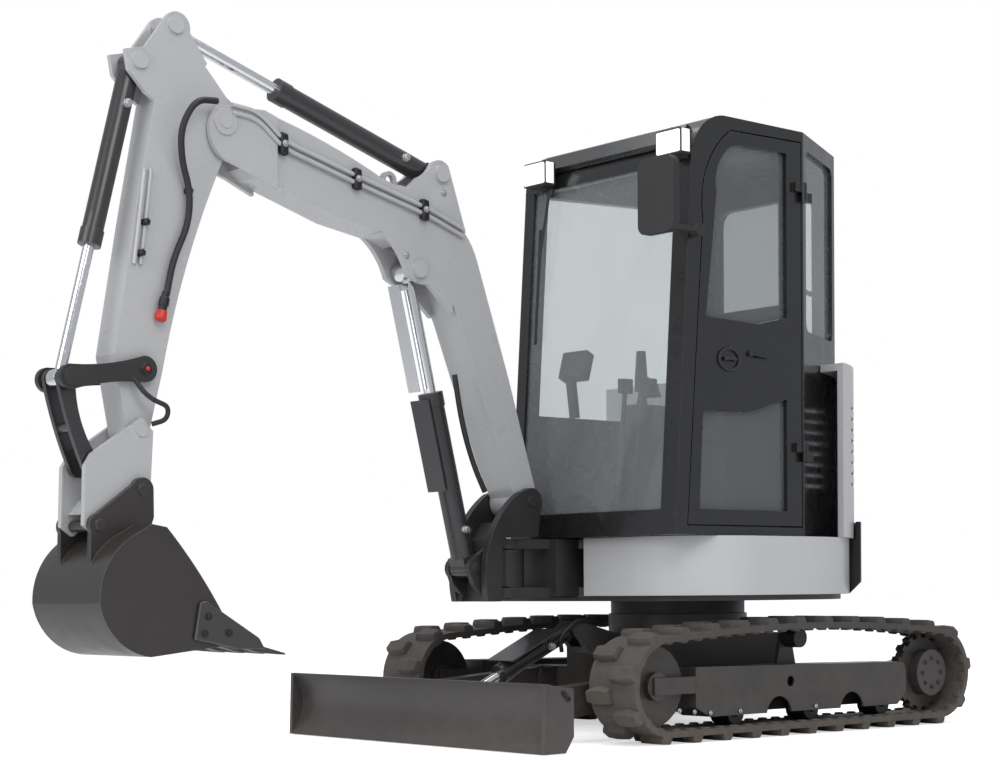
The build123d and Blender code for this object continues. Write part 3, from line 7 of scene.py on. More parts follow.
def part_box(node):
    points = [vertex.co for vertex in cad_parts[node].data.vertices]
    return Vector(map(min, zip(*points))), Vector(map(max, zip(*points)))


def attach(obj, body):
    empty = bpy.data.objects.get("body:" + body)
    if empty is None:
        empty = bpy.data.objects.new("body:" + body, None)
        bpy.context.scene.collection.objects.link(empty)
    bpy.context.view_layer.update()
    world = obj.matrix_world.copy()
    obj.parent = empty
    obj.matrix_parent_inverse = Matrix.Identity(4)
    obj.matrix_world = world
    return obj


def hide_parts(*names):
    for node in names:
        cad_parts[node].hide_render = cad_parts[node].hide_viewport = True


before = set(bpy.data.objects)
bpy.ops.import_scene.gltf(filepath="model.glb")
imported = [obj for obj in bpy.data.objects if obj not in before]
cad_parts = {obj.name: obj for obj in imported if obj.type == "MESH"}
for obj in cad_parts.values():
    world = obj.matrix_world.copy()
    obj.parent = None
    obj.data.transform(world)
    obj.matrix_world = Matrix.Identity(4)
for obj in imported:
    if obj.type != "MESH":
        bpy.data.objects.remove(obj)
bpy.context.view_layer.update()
ringLow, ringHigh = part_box("slew_ring")
slewX = (ringLow[0] + ringHigh[0]) / 2
boomY = -0.12
print("frame loaded", len(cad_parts), "nodes")


def at(x, y, z):
    return Vector((x + slewX, y, z))


# Camera, solved from the tracks and the cab in the photograph
angles = {"azimuth": -130.672, "pitch": -1.0988, "roll": -0.4494}
azimuth, pitch, roll = (math.radians(value) for value in angles.values())
forward = Vector((math.cos(azimuth) * math.cos(pitch), math.sin(azimuth) * math.cos(pitch), math.sin(pitch)))
level = forward.cross(Vector((0, 0, 1))).normalized()
upright = level.cross(forward)
across = level * math.cos(roll) + upright * math.sin(roll)
above = upright * math.cos(roll) - level * math.sin(roll)
cameraData = bpy.data.cameras.new("camera")
cameraData.lens = 72.83
cameraData.sensor_width = 36
cameraData.shift_x = 0
cameraData.shift_y = 0.2404
camera = bpy.data.objects.new("camera", cameraData)
turn = Matrix((across, above, -forward)).transposed().to_4x4()
camera.matrix_world = Matrix.Translation(at(6.33461, 6.18366, 0.59998)) @ turn
bpy.context.scene.collection.objects.link(camera)
bpy.context.scene.camera = camera
bpy.context.scene.view_settings.view_transform = "Standard"


def linear(code):
    values = []
    for start in (1, 3, 5):
        share = int(code[start:start + 2], 16) / 255
        values.append(share / 12.92 if share <= 0.04045 else ((share + 0.055) / 1.055) ** 2.4)
    return (*values, 1)


def addNode(tree, kind, settings=None, values=None, links=None):
    node = tree.nodes.new(kind)
    for name, value in (settings or {}).items():
        setattr(node, name, value)
    for name, value in (values or {}).items():
        node.inputs[name].default_value = value
    for name, source in (links or {}).items():
        tree.links.new(source, node.inputs[name])
    return node


# Soft studio light, with a white background for the camera
world = bpy.data.worlds.new("studio")
world.use_nodes = True
bpy.context.scene.world = world
sky = world.node_tree
sky.nodes.clear()
rays = addNode(sky, "ShaderNodeLightPath")
seenDirectly = addNode(sky, "ShaderNodeMath", {"operation": "MAXIMUM"}, None,
                       {0: rays.outputs["Is Camera Ray"], 1: rays.outputs["Is Transmission Ray"]})
soft = addNode(sky, "ShaderNodeBackground", None, {"Color": (0.92, 0.95, 1, 1), "Strength": 0.55})
plain = addNode(sky, "ShaderNodeBackground", None, {"Color": (1, 1, 1, 1), "Strength": 1})
skyMix = addNode(sky, "ShaderNodeMixShader", None, None,
                 {0: seenDirectly.outputs[0], 1: soft.outputs[0], 2: plain.outputs[0]})
addNode(sky, "ShaderNodeOutputWorld", None, None, {"Surface": skyMix.outputs[0]})
areaLights = {
    "keyLight": ((2.6, 5.2, 5.6), (-0.2, 0, 0.9), 3.6, 165),
    "frontLight": ((6.8, 0.6, 3.2), (0.6, 0, 1), 3.2, 130),
    "topLight": ((0.2, -0.6, 6.6), (0, 0, 0.8), 4.2, 150),
    "rearLight": ((-5, -2.6, 3.2), (-0.6, 0, 1), 2.4, 70),
}
for name, (place, target, size, power) in areaLights.items():
    lightData = bpy.data.lights.new(name, "AREA")
    lightData.size = size
    lightData.energy = power
    light = bpy.data.objects.new(name, lightData)
    light.location = Vector(place)
    light.rotation_euler = (Vector(target) - Vector(place)).to_track_quat("-Z", "Y").to_euler()
    bpy.context.scene.collection.objects.link(light)
print("studio done")


def coated(name, base, edgeWearAndHighlight, dust, rough, edge=0.003, metal=0.0, coat=0.0, dustTop=0.0, grain=9):
    # Paint with lighter edges, partly rubbed wear and partly a painted edge highlight, a faint cloudy tone
    # and dust that fades with height
    material = bpy.data.materials.new(name)
    material.use_nodes = True
    tree = material.node_tree
    shader = tree.nodes["Principled BSDF"]
    place = addNode(tree, "ShaderNodeTexCoord")
    spot = place.outputs["Object"]
    cloud = addNode(tree, "ShaderNodeTexNoise", None, {"Scale": grain, "Detail": 5, "Roughness": 0.6},
                    {"Vector": spot})
    fine = addNode(tree, "ShaderNodeTexNoise", None, {"Scale": 210, "Detail": 3}, {"Vector": spot})
    eased = addNode(tree, "ShaderNodeBevel", {"samples": 4}, {"Radius": edge})
    flat = addNode(tree, "ShaderNodeNewGeometry")
    dot = addNode(tree, "ShaderNodeVectorMath", {"operation": "DOT_PRODUCT"}, None,
                  {0: eased.outputs["Normal"], 1: flat.outputs["Normal"]})
    # Lighter colour along every edge: partly rubbed wear, partly a painted highlight
    edgeNearness = addNode(tree, "ShaderNodeMapRange", None,
                  {"From Min": 0.995, "From Max": 0.86, "To Min": 0, "To Max": 1},
                  {"Value": dot.outputs["Value"]})
    edgeWearAndHighlightMask = addNode(tree, "ShaderNodeMath", {"operation": "MULTIPLY"}, None,
                     {0: edgeNearness.outputs["Result"], 1: cloud.outputs["Fac"]})
    tone = addNode(tree, "ShaderNodeMix", {"data_type": "RGBA"}, {6: linear(base), 7: linear(edgeWearAndHighlight)},
                   {0: edgeWearAndHighlightMask.outputs[0]})
    parts = addNode(tree, "ShaderNodeSeparateXYZ", None, None, {0: spot})
    cleanDust = 0.08
    lowDust = 0.75 if dustTop else cleanDust
    height = addNode(tree, "ShaderNodeMapRange", None,
                     {"From Min": 0.0, "From Max": max(dustTop, 0.01),
                      "To Min": lowDust, "To Max": cleanDust},
                     {"Value": parts.outputs["Z"]})
    lying = addNode(tree, "ShaderNodeMath", {"operation": "MULTIPLY"}, None,
                    {0: height.outputs["Result"], 1: cloud.outputs["Fac"]})
    dusty = addNode(tree, "ShaderNodeMix", {"data_type": "RGBA"}, {7: linear(dust)},
                    {0: lying.outputs[0], 6: tone.outputs[2]})
    gloss = addNode(tree, "ShaderNodeMapRange", None,
                    {"From Min": 0.3, "From Max": 0.7, "To Min": rough - 0.06, "To Max": rough + 0.08},
                    {"Value": cloud.outputs["Fac"]})
    bump = addNode(tree, "ShaderNodeBump", None, {"Strength": 0.05, "Distance": 0.0006},
                   {"Height": fine.outputs["Fac"], "Normal": eased.outputs["Normal"]})
    tree.links.new(dusty.outputs[2], shader.inputs["Base Color"])
    tree.links.new(gloss.outputs["Result"], shader.inputs["Roughness"])
    tree.links.new(bump.outputs["Normal"], shader.inputs["Normal"])
    shader.inputs["Metallic"].default_value = metal
    shader.inputs["Coat Weight"].default_value = coat
    return material


def pane(name, tint, haze, hazeShare):
    # Thin glass that lets light and shadow rays through, with a grey haze and a sky reflection
    material = bpy.data.materials.new(name)
    material.use_nodes = True
    tree = material.node_tree
    tree.nodes.clear()
    clear = addNode(tree, "ShaderNodeBsdfTransparent", None, {"Color": linear(tint)})
    veil = addNode(tree, "ShaderNodeBsdfDiffuse", None, {"Color": linear(haze)})
    shine = addNode(tree, "ShaderNodeBsdfGlossy", None, {"Color": (0.9, 0.9, 0.9, 1), "Roughness": 0.03})
    body = addNode(tree, "ShaderNodeMixShader", None, {0: hazeShare},
                   {1: clear.outputs[0], 2: veil.outputs[0]})
    rim = addNode(tree, "ShaderNodeFresnel", None, {"IOR": 1.45})
    side = addNode(tree, "ShaderNodeNewGeometry")
    facing = addNode(tree, "ShaderNodeMath", {"operation": "SUBTRACT"}, {0: 1.0},
                     {1: side.outputs["Backfacing"]})
    mirrored = addNode(tree, "ShaderNodeMath", {"operation": "MULTIPLY"}, None,
                       {0: rim.outputs[0], 1: facing.outputs[0]})
    glazed = addNode(tree, "ShaderNodeMixShader", None, None,
                     {0: mirrored.outputs[0], 1: body.outputs[0], 2: shine.outputs[0]})
    path = addNode(tree, "ShaderNodeLightPath")
    passed = addNode(tree, "ShaderNodeBsdfTransparent", None, {"Color": linear(tint)})
    end = addNode(tree, "ShaderNodeMixShader", None, None,
                  {0: path.outputs["Is Shadow Ray"], 1: glazed.outputs[0], 2: passed.outputs[0]})
    addNode(tree, "ShaderNodeOutputMaterial", None, None, {"Surface": end.outputs[0]})
    return material


# Light grey gloss paint: the pale boom, arm and coupler
paleBoomPaint = coated("paleBoomPaint", "#b1b1b2", "#dadada", "#8d8b88", 0.3, coat=0.4)
# Light grey cover paint: the smooth skirts and rear covers
paleCoverPaint = coated("paleCoverPaint", "#c3c3c4", "#dddddd", "#8f8d8a", 0.36, coat=0.3)
# Black gloss cab paint: the dark posts and door that mirror the studio
cabGlossPaint = coated("cabGlossPaint", "#161617", "#3c3c3d", "#3c3b39", 0.26, coat=0.25)
# Black frame paint: dusty toward the ground
frameBlackPaint = coated("frameBlackPaint", "#242425", "#58585a", "#6f675f", 0.4, dustTop=0.75)
# Dark blade paint: edges lighter, partly rubbed and partly a painted highlight, and streaked by soil
bladePaint = coated("bladePaint", "#3a3738", "#7d7b7a", "#6a625a", 0.36, dustTop=0.3, grain=16)
# Dark bucket steel: brownish sheen with bright edges, partly worn and partly a painted highlight
bucketSteel = coated("bucketSteel", "#3b3836", "#9c9a97", "#6b655e", 0.33, metal=0.35, grain=12)
# Forged tooth steel: dull grey points
toothSteel = coated("toothSteel", "#4b4a49", "#a9a8a6", "#6a655f", 0.45, metal=0.6)
# Black cylinder paint: satin barrels
barrelPaint = coated("barrelPaint", "#2a2a2b", "#606062", "#4f4d4a", 0.3, coat=0.3)
# Hard chrome: bright rods with a fine ground grain
hardChrome = coated("hardChrome", "#e4e4e6", "#ffffff", "#bdbdbd", 0.1, metal=1.0, grain=40)
# Ground ring steel: oily dark bearing metal
ringSteel = coated("ringSteel", "#39393a", "#8a8a8b", "#4d4a47", 0.42, metal=0.7)
# Moulded track rubber: matt brown-black with soil in it
trackRubber = coated("trackRubber", "#3e3b3a", "#6d6864", "#857b70", 0.82, edge=0.004, dustTop=0.6, grain=22)
# Black hose rubber: matt and clean
hoseRubber = coated("hoseRubber", "#1d1d1e", "#3a3a3b", "#4a4846", 0.55)
# Black moulded plastic: the cab's inner trim
cabPlastic = coated("cabPlastic", "#262627", "#454546", "#555350", 0.6)
# Woven seat cloth: soft dark grey
seatCloth = coated("seatCloth", "#2e2e30", "#4a4a4c", "#4c4b4a", 0.92, grain=60)
# Cast engine iron: dull grey
engineIron = coated("engineIron", "#4a4a4a", "#777777", "#5c5853", 0.6, metal=0.4)
# Zinc bolt steel: small bright heads
boltZinc = coated("boltZinc", "#b4b5b6", "#e6e6e6", "#8d8b88", 0.32, metal=0.8)
# Black oxide bolt steel: dark heads
boltBlack = coated("boltBlack", "#303031", "#777778", "#57534f", 0.4, metal=0.7)
# Red grease cap plastic: the only colour
redCap = coated("redCap", "#c22a24", "#e25a50", "#8a4a44", 0.4)
# Frosted lamp lens: glows white
lampLens = bpy.data.materials.new("lampLens")
lampLens.use_nodes = True
lensShader = lampLens.node_tree.nodes["Principled BSDF"]
lensShader.inputs["Base Color"].default_value = linear("#f4f4f4")
lensShader.inputs["Emission Color"].default_value = (1, 1, 1, 1)
lensShader.inputs["Emission Strength"].default_value = 0.55
lensShader.inputs["Roughness"].default_value = 0.15
# Clear front glass: nearly unseen, with a light veil
clearGlass = pane("clearGlass", "#f2f4f4", "#e4e6e7", 0.1)
# Door glass: a stronger grey veil
doorGlass = pane("doorGlass", "#d4d6d7", "#b4b6b8", 0.16)
# Silvered mirror glass: a sharp reflection
mirrorSilver = coated("mirrorSilver", "#c9cccf", "#e0e0e0", "#b0b0b0", 0.08, metal=1.0)

looks = {
    "track_left": trackRubber, "track_right": trackRubber, "track_frames": frameBlackPaint,
    "idlers": frameBlackPaint, "sprockets": frameBlackPaint, "rollers": ringSteel,
    "lower_frame": frameBlackPaint, "slew_ring": ringSteel, "blade": bladePaint,
    "blade_arms": frameBlackPaint, "blade_barrel": barrelPaint, "blade_rod": hardChrome,
    "upper_frame": frameBlackPaint, "engine_block": engineIron, "skirts": paleCoverPaint,
    "counterweight": frameBlackPaint, "engine_hood": paleCoverPaint, "tank_cover": paleCoverPaint,
    "cab_frame": cabGlossPaint, "cab_glass": clearGlass, "door": cabGlossPaint, "door_glass": doorGlass,
    "seat_base": cabPlastic, "seat": seatCloth, "consoles": cabPlastic, "controls": cabPlastic,
    "monitor": cabPlastic, "work_lamps": cabPlastic, "mirror": cabPlastic, "swing_post": frameBlackPaint,
    "boom": paleBoomPaint, "arm": paleBoomPaint, "boom_barrel": barrelPaint, "boom_rod": hardChrome,
    "arm_barrel": barrelPaint, "arm_rod": hardChrome, "bucket_barrel": barrelPaint, "bucket_rod": hardChrome,
    "rocker": frameBlackPaint, "bucket_link": barrelPaint, "quick_coupler": paleBoomPaint,
    "bucket": bucketSteel, "bucket_teeth": toothSteel,
}
for name, material in looks.items():
    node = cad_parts[name]
    node.data.materials.clear()
    node.data.materials.append(material)
print("materials done")

# Plain pale floor
floorPaint = bpy.data.materials.new("paleFloor")
floorPaint.use_nodes = True
floorShader = floorPaint.node_tree.nodes["Principled BSDF"]
floorShader.inputs["Base Color"].default_value = (0.93, 0.93, 0.93, 1)
floorShader.inputs["Roughness"].default_value = 0.8
floorRays = addNode(floorPaint.node_tree, "ShaderNodeLightPath")
floorGlow = addNode(floorPaint.node_tree, "ShaderNodeMath", {"operation": "MULTIPLY"}, {1: 0.55},
                    {0: floorRays.outputs["Is Camera Ray"]})
floorShader.inputs["Emission Color"].default_value = (1, 1, 1, 1)
floorPaint.node_tree.links.new(floorGlow.outputs[0], floorShader.inputs["Emission Strength"])
floorMesh = bpy.data.meshes.new("floor")
floorHalf = 60
floorZ = -0.001
floorCorners = [(x * floorHalf, y * floorHalf, floorZ) for x, y in ((-1, -1), (1, -1), (1, 1), (-1, 1))]
floorMesh.from_pydata(floorCorners, [], [(0, 1, 2, 3)])
floorMesh.materials.append(floorPaint)
floor = bpy.data.objects.new("floor", floorMesh)
bpy.context.scene.collection.objects.link(floor)


def piece(name, mesh, material, body, smooth=False):
    mesh.materials.clear()
    mesh.materials.append(material)
    form = bmesh.new()
    form.from_mesh(mesh)
    bmesh.ops.recalc_face_normals(form, faces=form.faces)
    form.to_mesh(mesh)
    form.free()
    if smooth:
        mesh.polygons.foreach_set("use_smooth", [True] * len(mesh.polygons))
        mesh.set_sharp_from_angle(angle=math.radians(38))
    made = bpy.data.objects.new(name, mesh)
    bpy.context.scene.collection.objects.link(made)
    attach(made, body)
    return made


def joined(meshes, name):
    form = bmesh.new()
    for mesh in meshes:
        form.from_mesh(mesh)
    result = bpy.data.meshes.new(name)
    form.to_mesh(result)
    form.free()
    return result


def pipeMesh(points, radius, bend=0.03, sides=10):
    # A pipe along corner points, each corner rounded
    path = [Vector(points[0])]
    for i in range(1, len(points) - 1):
        before, corner, after = Vector(points[i - 1]), Vector(points[i]), Vector(points[i + 1])
        reach = min(bend, (corner - before).length * 0.48, (after - corner).length * 0.48)
        start = corner + (before - corner).normalized() * reach
        end = corner + (after - corner).normalized() * reach
        for k in range(6):
            t = k / 5
            path.append(start * (1 - t) ** 2 + corner * 2 * t * (1 - t) + end * t ** 2)
    path.append(Vector(points[-1]))
    clean = [path[0]]
    for spot in path[1:]:
        if (spot - clean[-1]).length > 1e-4:
            clean.append(spot)
    path = clean
    direction = (path[1] - path[0]).normalized()
    side = direction.orthogonal().normalized()
    corners = []
    for i, spot in enumerate(path):
        ahead = path[min(i + 1, len(path) - 1)] - path[max(i - 1, 0)]
        turned = ahead.normalized()
        side = (side - turned * side.dot(turned)).normalized()
        other = turned.cross(side)
        for k in range(sides):
            angle = 2 * math.pi * k / sides
            corners.append(spot + (side * math.cos(angle) + other * math.sin(angle)) * radius)
    faces = []
    for i in range(len(path) - 1):
        for k in range(sides):
            nextK = (k + 1) % sides
            faces.append((i * sides + k, i * sides + nextK, (i + 1) * sides + nextK, (i + 1) * sides + k))
    faces.append(tuple(range(sides)))
    faces.append(tuple(range((len(path) - 1) * sides, len(path) * sides)))
    mesh = bpy.data.meshes.new("pipe")
    mesh.from_pydata([tuple(spot) for spot in corners], [], faces)
    return mesh


def turnedMesh(profile, start, axis, sides=24):
    # A turned piece: profile pairs of distance along the axis and radius
    axis = Vector(axis).normalized()
    side = axis.orthogonal().normalized()
    other = axis.cross(side)
    corners, faces = [], []
    for along, radius in profile:
        for k in range(sides):
            angle = 2 * math.pi * k / sides
            outward = side * math.cos(angle) + other * math.sin(angle)
            corners.append(Vector(start) + axis * along + outward * radius)
    for i in range(len(profile) - 1):
        for k in range(sides):
            nextK = (k + 1) % sides
            faces.append((i * sides + k, i * sides + nextK, (i + 1) * sides + nextK, (i + 1) * sides + k))
    faces.append(tuple(range(sides)))
    faces.append(tuple(range((len(profile) - 1) * sides, len(profile) * sides)))
    mesh = bpy.data.meshes.new("turned")
    mesh.from_pydata([tuple(spot) for spot in corners], [], faces)
    return mesh


def plateMesh(outline, normal, thickness, bevel=0.0015):
    # A flat plate from outline points in space, raised along its normal with eased edges
    normal = Vector(normal).normalized()
    form = bmesh.new()
    low = [form.verts.new(Vector(spot)) for spot in outline]
    face = form.faces.new(low)
    raised = bmesh.ops.extrude_face_region(form, geom=[face])
    moved = [item for item in raised["geom"] if isinstance(item, bmesh.types.BMVert)]
    bmesh.ops.translate(form, verts=moved, vec=normal * thickness)
    bmesh.ops.recalc_face_normals(form, faces=form.faces)
    if bevel:
        bmesh.ops.bevel(form, geom=list(form.edges), offset=bevel, segments=2, affect="EDGES",
                        clamp_overlap=True)
    mesh = bpy.data.meshes.new("plate")
    form.to_mesh(mesh)
    form.free()
    return mesh


def repeatTree(name, stock, material):
    # Instances of one stock mesh on points, turned to the facing attribute, as one solid mesh
    tree = bpy.data.node_groups.new(name, "GeometryNodeTree")
    tree.interface.new_socket("Geometry", in_out="INPUT", socket_type="NodeSocketGeometry")
    tree.interface.new_socket("Stock", in_out="INPUT", socket_type="NodeSocketObject")
    tree.interface.new_socket("Size", in_out="INPUT", socket_type="NodeSocketFloat").default_value = 1
    tree.interface.new_socket("Size Change", in_out="INPUT", socket_type="NodeSocketFloat").default_value = 0
    tree.interface.new_socket("Seed", in_out="INPUT", socket_type="NodeSocketInt").default_value = 3
    tree.interface.new_socket("Geometry", in_out="OUTPUT", socket_type="NodeSocketGeometry")
    inside = addNode(tree, "NodeGroupInput")
    points = addNode(tree, "GeometryNodeMeshToPoints", None, None, {"Mesh": inside.outputs["Geometry"]})
    vectors = {"data_type": "FLOAT_VECTOR"}
    facing = addNode(tree, "GeometryNodeInputNamedAttribute", vectors, {"Name": "facing"})
    heading = addNode(tree, "GeometryNodeInputNamedAttribute", vectors, {"Name": "heading"})
    first = addNode(tree, "FunctionNodeAlignRotationToVector", {"axis": "Z"}, None,
                    {"Vector": facing.outputs["Attribute"]})
    second = addNode(tree, "FunctionNodeAlignRotationToVector", {"axis": "X", "pivot_axis": "Z"}, None,
                     {"Rotation": first.outputs[0], "Vector": heading.outputs["Attribute"]})
    stockInfo = addNode(tree, "GeometryNodeObjectInfo", None, None, {"Object": inside.outputs["Stock"]})
    low = addNode(tree, "ShaderNodeMath", {"operation": "SUBTRACT"}, None,
                  {0: inside.outputs["Size"], 1: inside.outputs["Size Change"]})
    high = addNode(tree, "ShaderNodeMath", {"operation": "ADD"}, None,
                   {0: inside.outputs["Size"], 1: inside.outputs["Size Change"]})
    scale = addNode(tree, "FunctionNodeRandomValue", {"data_type": "FLOAT"}, None,
                    {2: low.outputs[0], 3: high.outputs[0], "Seed": inside.outputs["Seed"]})
    spread = addNode(tree, "GeometryNodeInstanceOnPoints", None, None,
                     {"Points": points.outputs[0], "Instance": stockInfo.outputs["Geometry"],
                      "Rotation": second.outputs[0], "Scale": scale.outputs[1]})
    real = addNode(tree, "GeometryNodeRealizeInstances", None, None, {"Geometry": spread.outputs[0]})
    painted = addNode(tree, "GeometryNodeSetMaterial", None, {"Material": material},
                      {"Geometry": real.outputs[0]})
    addNode(tree, "NodeGroupOutput", None, None, {"Geometry": painted.outputs[0]})
    return tree


def repeated(name, stockMesh, spots, material, body, change=0.0, smooth=False):
    # spots holds place, facing and heading for each copy
    stock = bpy.data.objects.new(name + "Stock", stockMesh)
    bpy.context.scene.collection.objects.link(stock)
    carrier = bpy.data.meshes.new(name + "Points")
    carrier.from_pydata([tuple(spot[0]) for spot in spots], [], [])
    facing = carrier.attributes.new("facing", "FLOAT_VECTOR", "POINT")
    heading = carrier.attributes.new("heading", "FLOAT_VECTOR", "POINT")
    for i, spot in enumerate(spots):
        facing.data[i].vector = Vector(spot[1])
        heading.data[i].vector = Vector(spot[2]) if len(spot) > 2 else Vector(spot[1]).orthogonal()
    holder = bpy.data.objects.new(name + "Holder", carrier)
    bpy.context.scene.collection.objects.link(holder)
    tree = repeatTree(name + "Tree", stock, material)
    modifier = holder.modifiers.new("repeat", "NODES")
    modifier.node_group = tree
    sockets = {item.name: item.identifier for item in tree.interface.items_tree if item.in_out == "INPUT"}
    modifier[sockets["Stock"]] = stock
    modifier[sockets["Size"]] = 1.0
    modifier[sockets["Size Change"]] = float(change)
    modifier[sockets["Seed"]] = 3
    bpy.context.view_layer.update()
    graph = bpy.context.evaluated_depsgraph_get()
    mesh = bpy.data.meshes.new_from_object(holder.evaluated_get(graph))
    bpy.data.objects.remove(holder)
    bpy.data.objects.remove(stock)
    return piece(name, mesh, material, body, smooth)


def hexHead(width, height):
    # Hex head with a washer under it
    washer = turnedMesh([(0, width * 0.72), (height * 0.22, width * 0.72)], (0, 0, 0), (0, 0, 1), 16)
    head = turnedMesh([(height * 0.22, width * 0.5), (height * 0.85, width * 0.5), (height, width * 0.43)],
                      (0, 0, 0), (0, 0, 1), 6)
    return joined([washer, head], "hexHead")


left = (0, 1, 0)

# Track belts with staggered tread blocks and inner ribs
tread = {
    "gauge": 0.65, "width": 0.25, "wheelZ": 0.22, "inner": 0.17, "belt": 0.024, "count": 54,
    "idlerX": 0.83, "sprocketX": -0.835, "carrierX": -0.036, "carrierTop": 0.428,
    "lugWidth": 0.126, "lugLength": 0.062, "lug": 0.026, "lugPlace": 0.062,
    "ribWidth": 0.026, "ribLength": 0.036, "rib": 0.008, "ribPlace": 0.108,
}


def beltPath(offset):
    radius = tread["inner"] + offset
    path = []
    for i in range(25):
        angle = math.pi / 2 - math.pi * i / 24
        path.append((tread["idlerX"] + radius * math.cos(angle),
                     tread["wheelZ"] + radius * math.sin(angle)))
    for i in range(1, 24):
        share = i / 24
        path.append((tread["idlerX"] + (tread["sprocketX"] - tread["idlerX"]) * share,
                     tread["wheelZ"] - radius))
    for i in range(25):
        angle = -math.pi / 2 - math.pi * i / 24
        path.append((tread["sprocketX"] + radius * math.cos(angle),
                     tread["wheelZ"] + radius * math.sin(angle)))
    rise = tread["carrierTop"] - tread["wheelZ"] - tread["inner"]
    half = (tread["idlerX"] - tread["sprocketX"]) / 2
    for i in range(1, 24):
        x = tread["sprocketX"] + (tread["idlerX"] - tread["sprocketX"]) * i / 24
        lift = rise * (1 - ((x - tread["carrierX"]) / half) ** 2)
        path.append((x, tread["wheelZ"] + radius + max(lift, 0)))
    return path


def beltPoints(offset, count):
    path = beltPath(offset)
    lengths = [0.0]
    for i in range(len(path)):
        a, b = path[i], path[(i + 1) % len(path)]
        lengths.append(lengths[-1] + math.hypot(b[0] - a[0], b[1] - a[1]))
    found = []
    for k in range(count):
        wanted = lengths[-1] * k / count
        i = max(j for j in range(len(path)) if lengths[j] <= wanted + 1e-9)
        a, b = path[i], path[(i + 1) % len(path)]
        share = (wanted - lengths[i]) / (lengths[i + 1] - lengths[i])
        run = Vector((b[0] - a[0], 0, b[1] - a[1])).normalized()
        found.append((a[0] + (b[0] - a[0]) * share, a[1] + (b[1] - a[1]) * share, run))
    return found


def lugMesh(width, length, height):
    # One tread block: wide foot, narrower crown, scalloped outer end
    form = []
    for level, grow in ((-0.006, 1.0), (height * 0.55, 0.9), (height, 0.72)):
        for x, y in ((-0.5, -0.5), (0.5, -0.5), (0.62, 0.1), (0.42, 0.5), (-0.42, 0.5), (-0.62, 0.1)):
            form.append((x * length * grow, y * width * (1 - (1 - grow) * 0.35), level))
    faces = [(0, 1, 2, 3, 4, 5), (12, 13, 14, 15, 16, 17)]
    for ring in range(2):
        for k in range(6):
            nextK = (k + 1) % 6
            faces.append((ring * 6 + k, ring * 6 + nextK, ring * 6 + 6 + nextK, ring * 6 + 6 + k))
    mesh = bpy.data.meshes.new("lug")
    mesh.from_pydata(form, [], faces)
    return mesh


for side, word in ((1, "left"), (-1, "right")):
    middle = side * tread["gauge"]
    outer = beltPath(tread["belt"])
    inner = beltPath(0.0)
    half = tread["width"] / 2
    corners = []
    for (ox, oz), (ix, iz) in zip(outer, inner):
        corners += [at(ox, middle - half, oz), at(ox, middle + half, oz),
                    at(ix, middle + half, iz), at(ix, middle - half, iz)]
    faces = []
    total = len(outer)
    for i in range(total):
        j = (i + 1) % total
        for k in range(4):
            m = (k + 1) % 4
            faces.append((i * 4 + k, i * 4 + m, j * 4 + m, j * 4 + k))
    band = bpy.data.meshes.new("band")
    band.from_pydata([tuple(spot) for spot in corners], [], faces)
    belt = piece("trackBelt_" + word, band, trackRubber, "undercarriage", True)
    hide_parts("track_" + word)
    spots = []
    for k, (x, z, run) in enumerate(beltPoints(tread["belt"], tread["count"])):
        out = Vector((run.z, 0, -run.x)) * -1
        end = 1 if k % 2 else -1
        spots.append((at(x, middle + end * tread["lugPlace"], z), out, run * end))
    repeated("trackLugs_" + word, lugMesh(tread["lugWidth"], tread["lugLength"], tread["lug"]), spots,
             trackRubber, "undercarriage")
    ribs = []
    for k, (x, z, run) in enumerate(beltPoints(0.0, tread["count"])):
        inward = Vector((run.z, 0, -run.x))
        for end in (-1, 1):
            ribs.append((at(x, middle + end * tread["ribPlace"], z), inward, run))
    repeated("trackRibs_" + word, lugMesh(tread["ribWidth"], tread["ribLength"], tread["rib"]), ribs,
             trackRubber, "undercarriage")
print("tracks done")

# Hex bolts round the slew ring
ringBolts = []
for k in range(24):
    angle = 2 * math.pi * k / 24
    radius = (ringHigh[0] - ringLow[0]) / 2 - 0.012
    ringBolts.append((at(radius * math.cos(angle), radius * math.sin(angle), ringLow[2] + 0.002),
                      (math.cos(angle), math.sin(angle), 0), (0, 0, 1)))

repeated("slewBolts", hexHead(0.016, 0.01), ringBolts, boltBlack, "undercarriage")


def barrelReach(node, start, end):
    # How far a cylinder's barrel reaches from its eye, and its way
    way = (end - start).normalized()
    far = max((node.matrix_world @ corner.co - start).dot(way) for corner in node.data.vertices)
    return way, far


# Gland nuts with a groove at the mouth of each barrel
glands = {
    "boom": ((1.105, 0.683), (1.39, 1.852), -0.12, 0.046, 0.025),
    "arm": ((1.275, 2.239), (2.475, 2.618), -0.12, 0.042, 0.022),
    "bucket": ((2.623, 2.47), (2.92, 1.338), -0.12, 0.038, 0.02),
    "blade": ((0.64, 0.43), (1.19, 0.178), 0.0, 0.038, 0.02),
}
for name, (low, high, y, radius, rod) in glands.items():
    start, end = at(low[0], y, low[1]), at(high[0], y, high[1])
    way, far = barrelReach(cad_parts[name + "_barrel"], start, end)
    lip = radius + 0.004
    nut = turnedMesh([(far - 0.05, radius), (far - 0.048, lip), (far - 0.03, lip), (far - 0.028, lip - 0.003),
                      (far - 0.02, lip - 0.003), (far - 0.018, lip), (far + 0.002, lip),
                      (far + 0.004, rod + 0.003)],
                     start, way, 32)
    piece(name + "Gland", nut, barrelPaint, name + "_barrel", True)
    port = start + way * 0.16
    out = Vector((0, 1, 0))
    fitting = joined([turnedMesh([(radius - 0.004, 0.016), (radius + 0.012, 0.016), (radius + 0.012, 0.011),
                                  (radius + 0.026, 0.011)], port, out, 12),
                      turnedMesh([(radius + 0.012, 0.0145), (radius + 0.022, 0.0145)], port, out, 6)], "port")
    piece(name + "Port", fitting, boltZinc, name + "_barrel", True)
print("cylinders done")

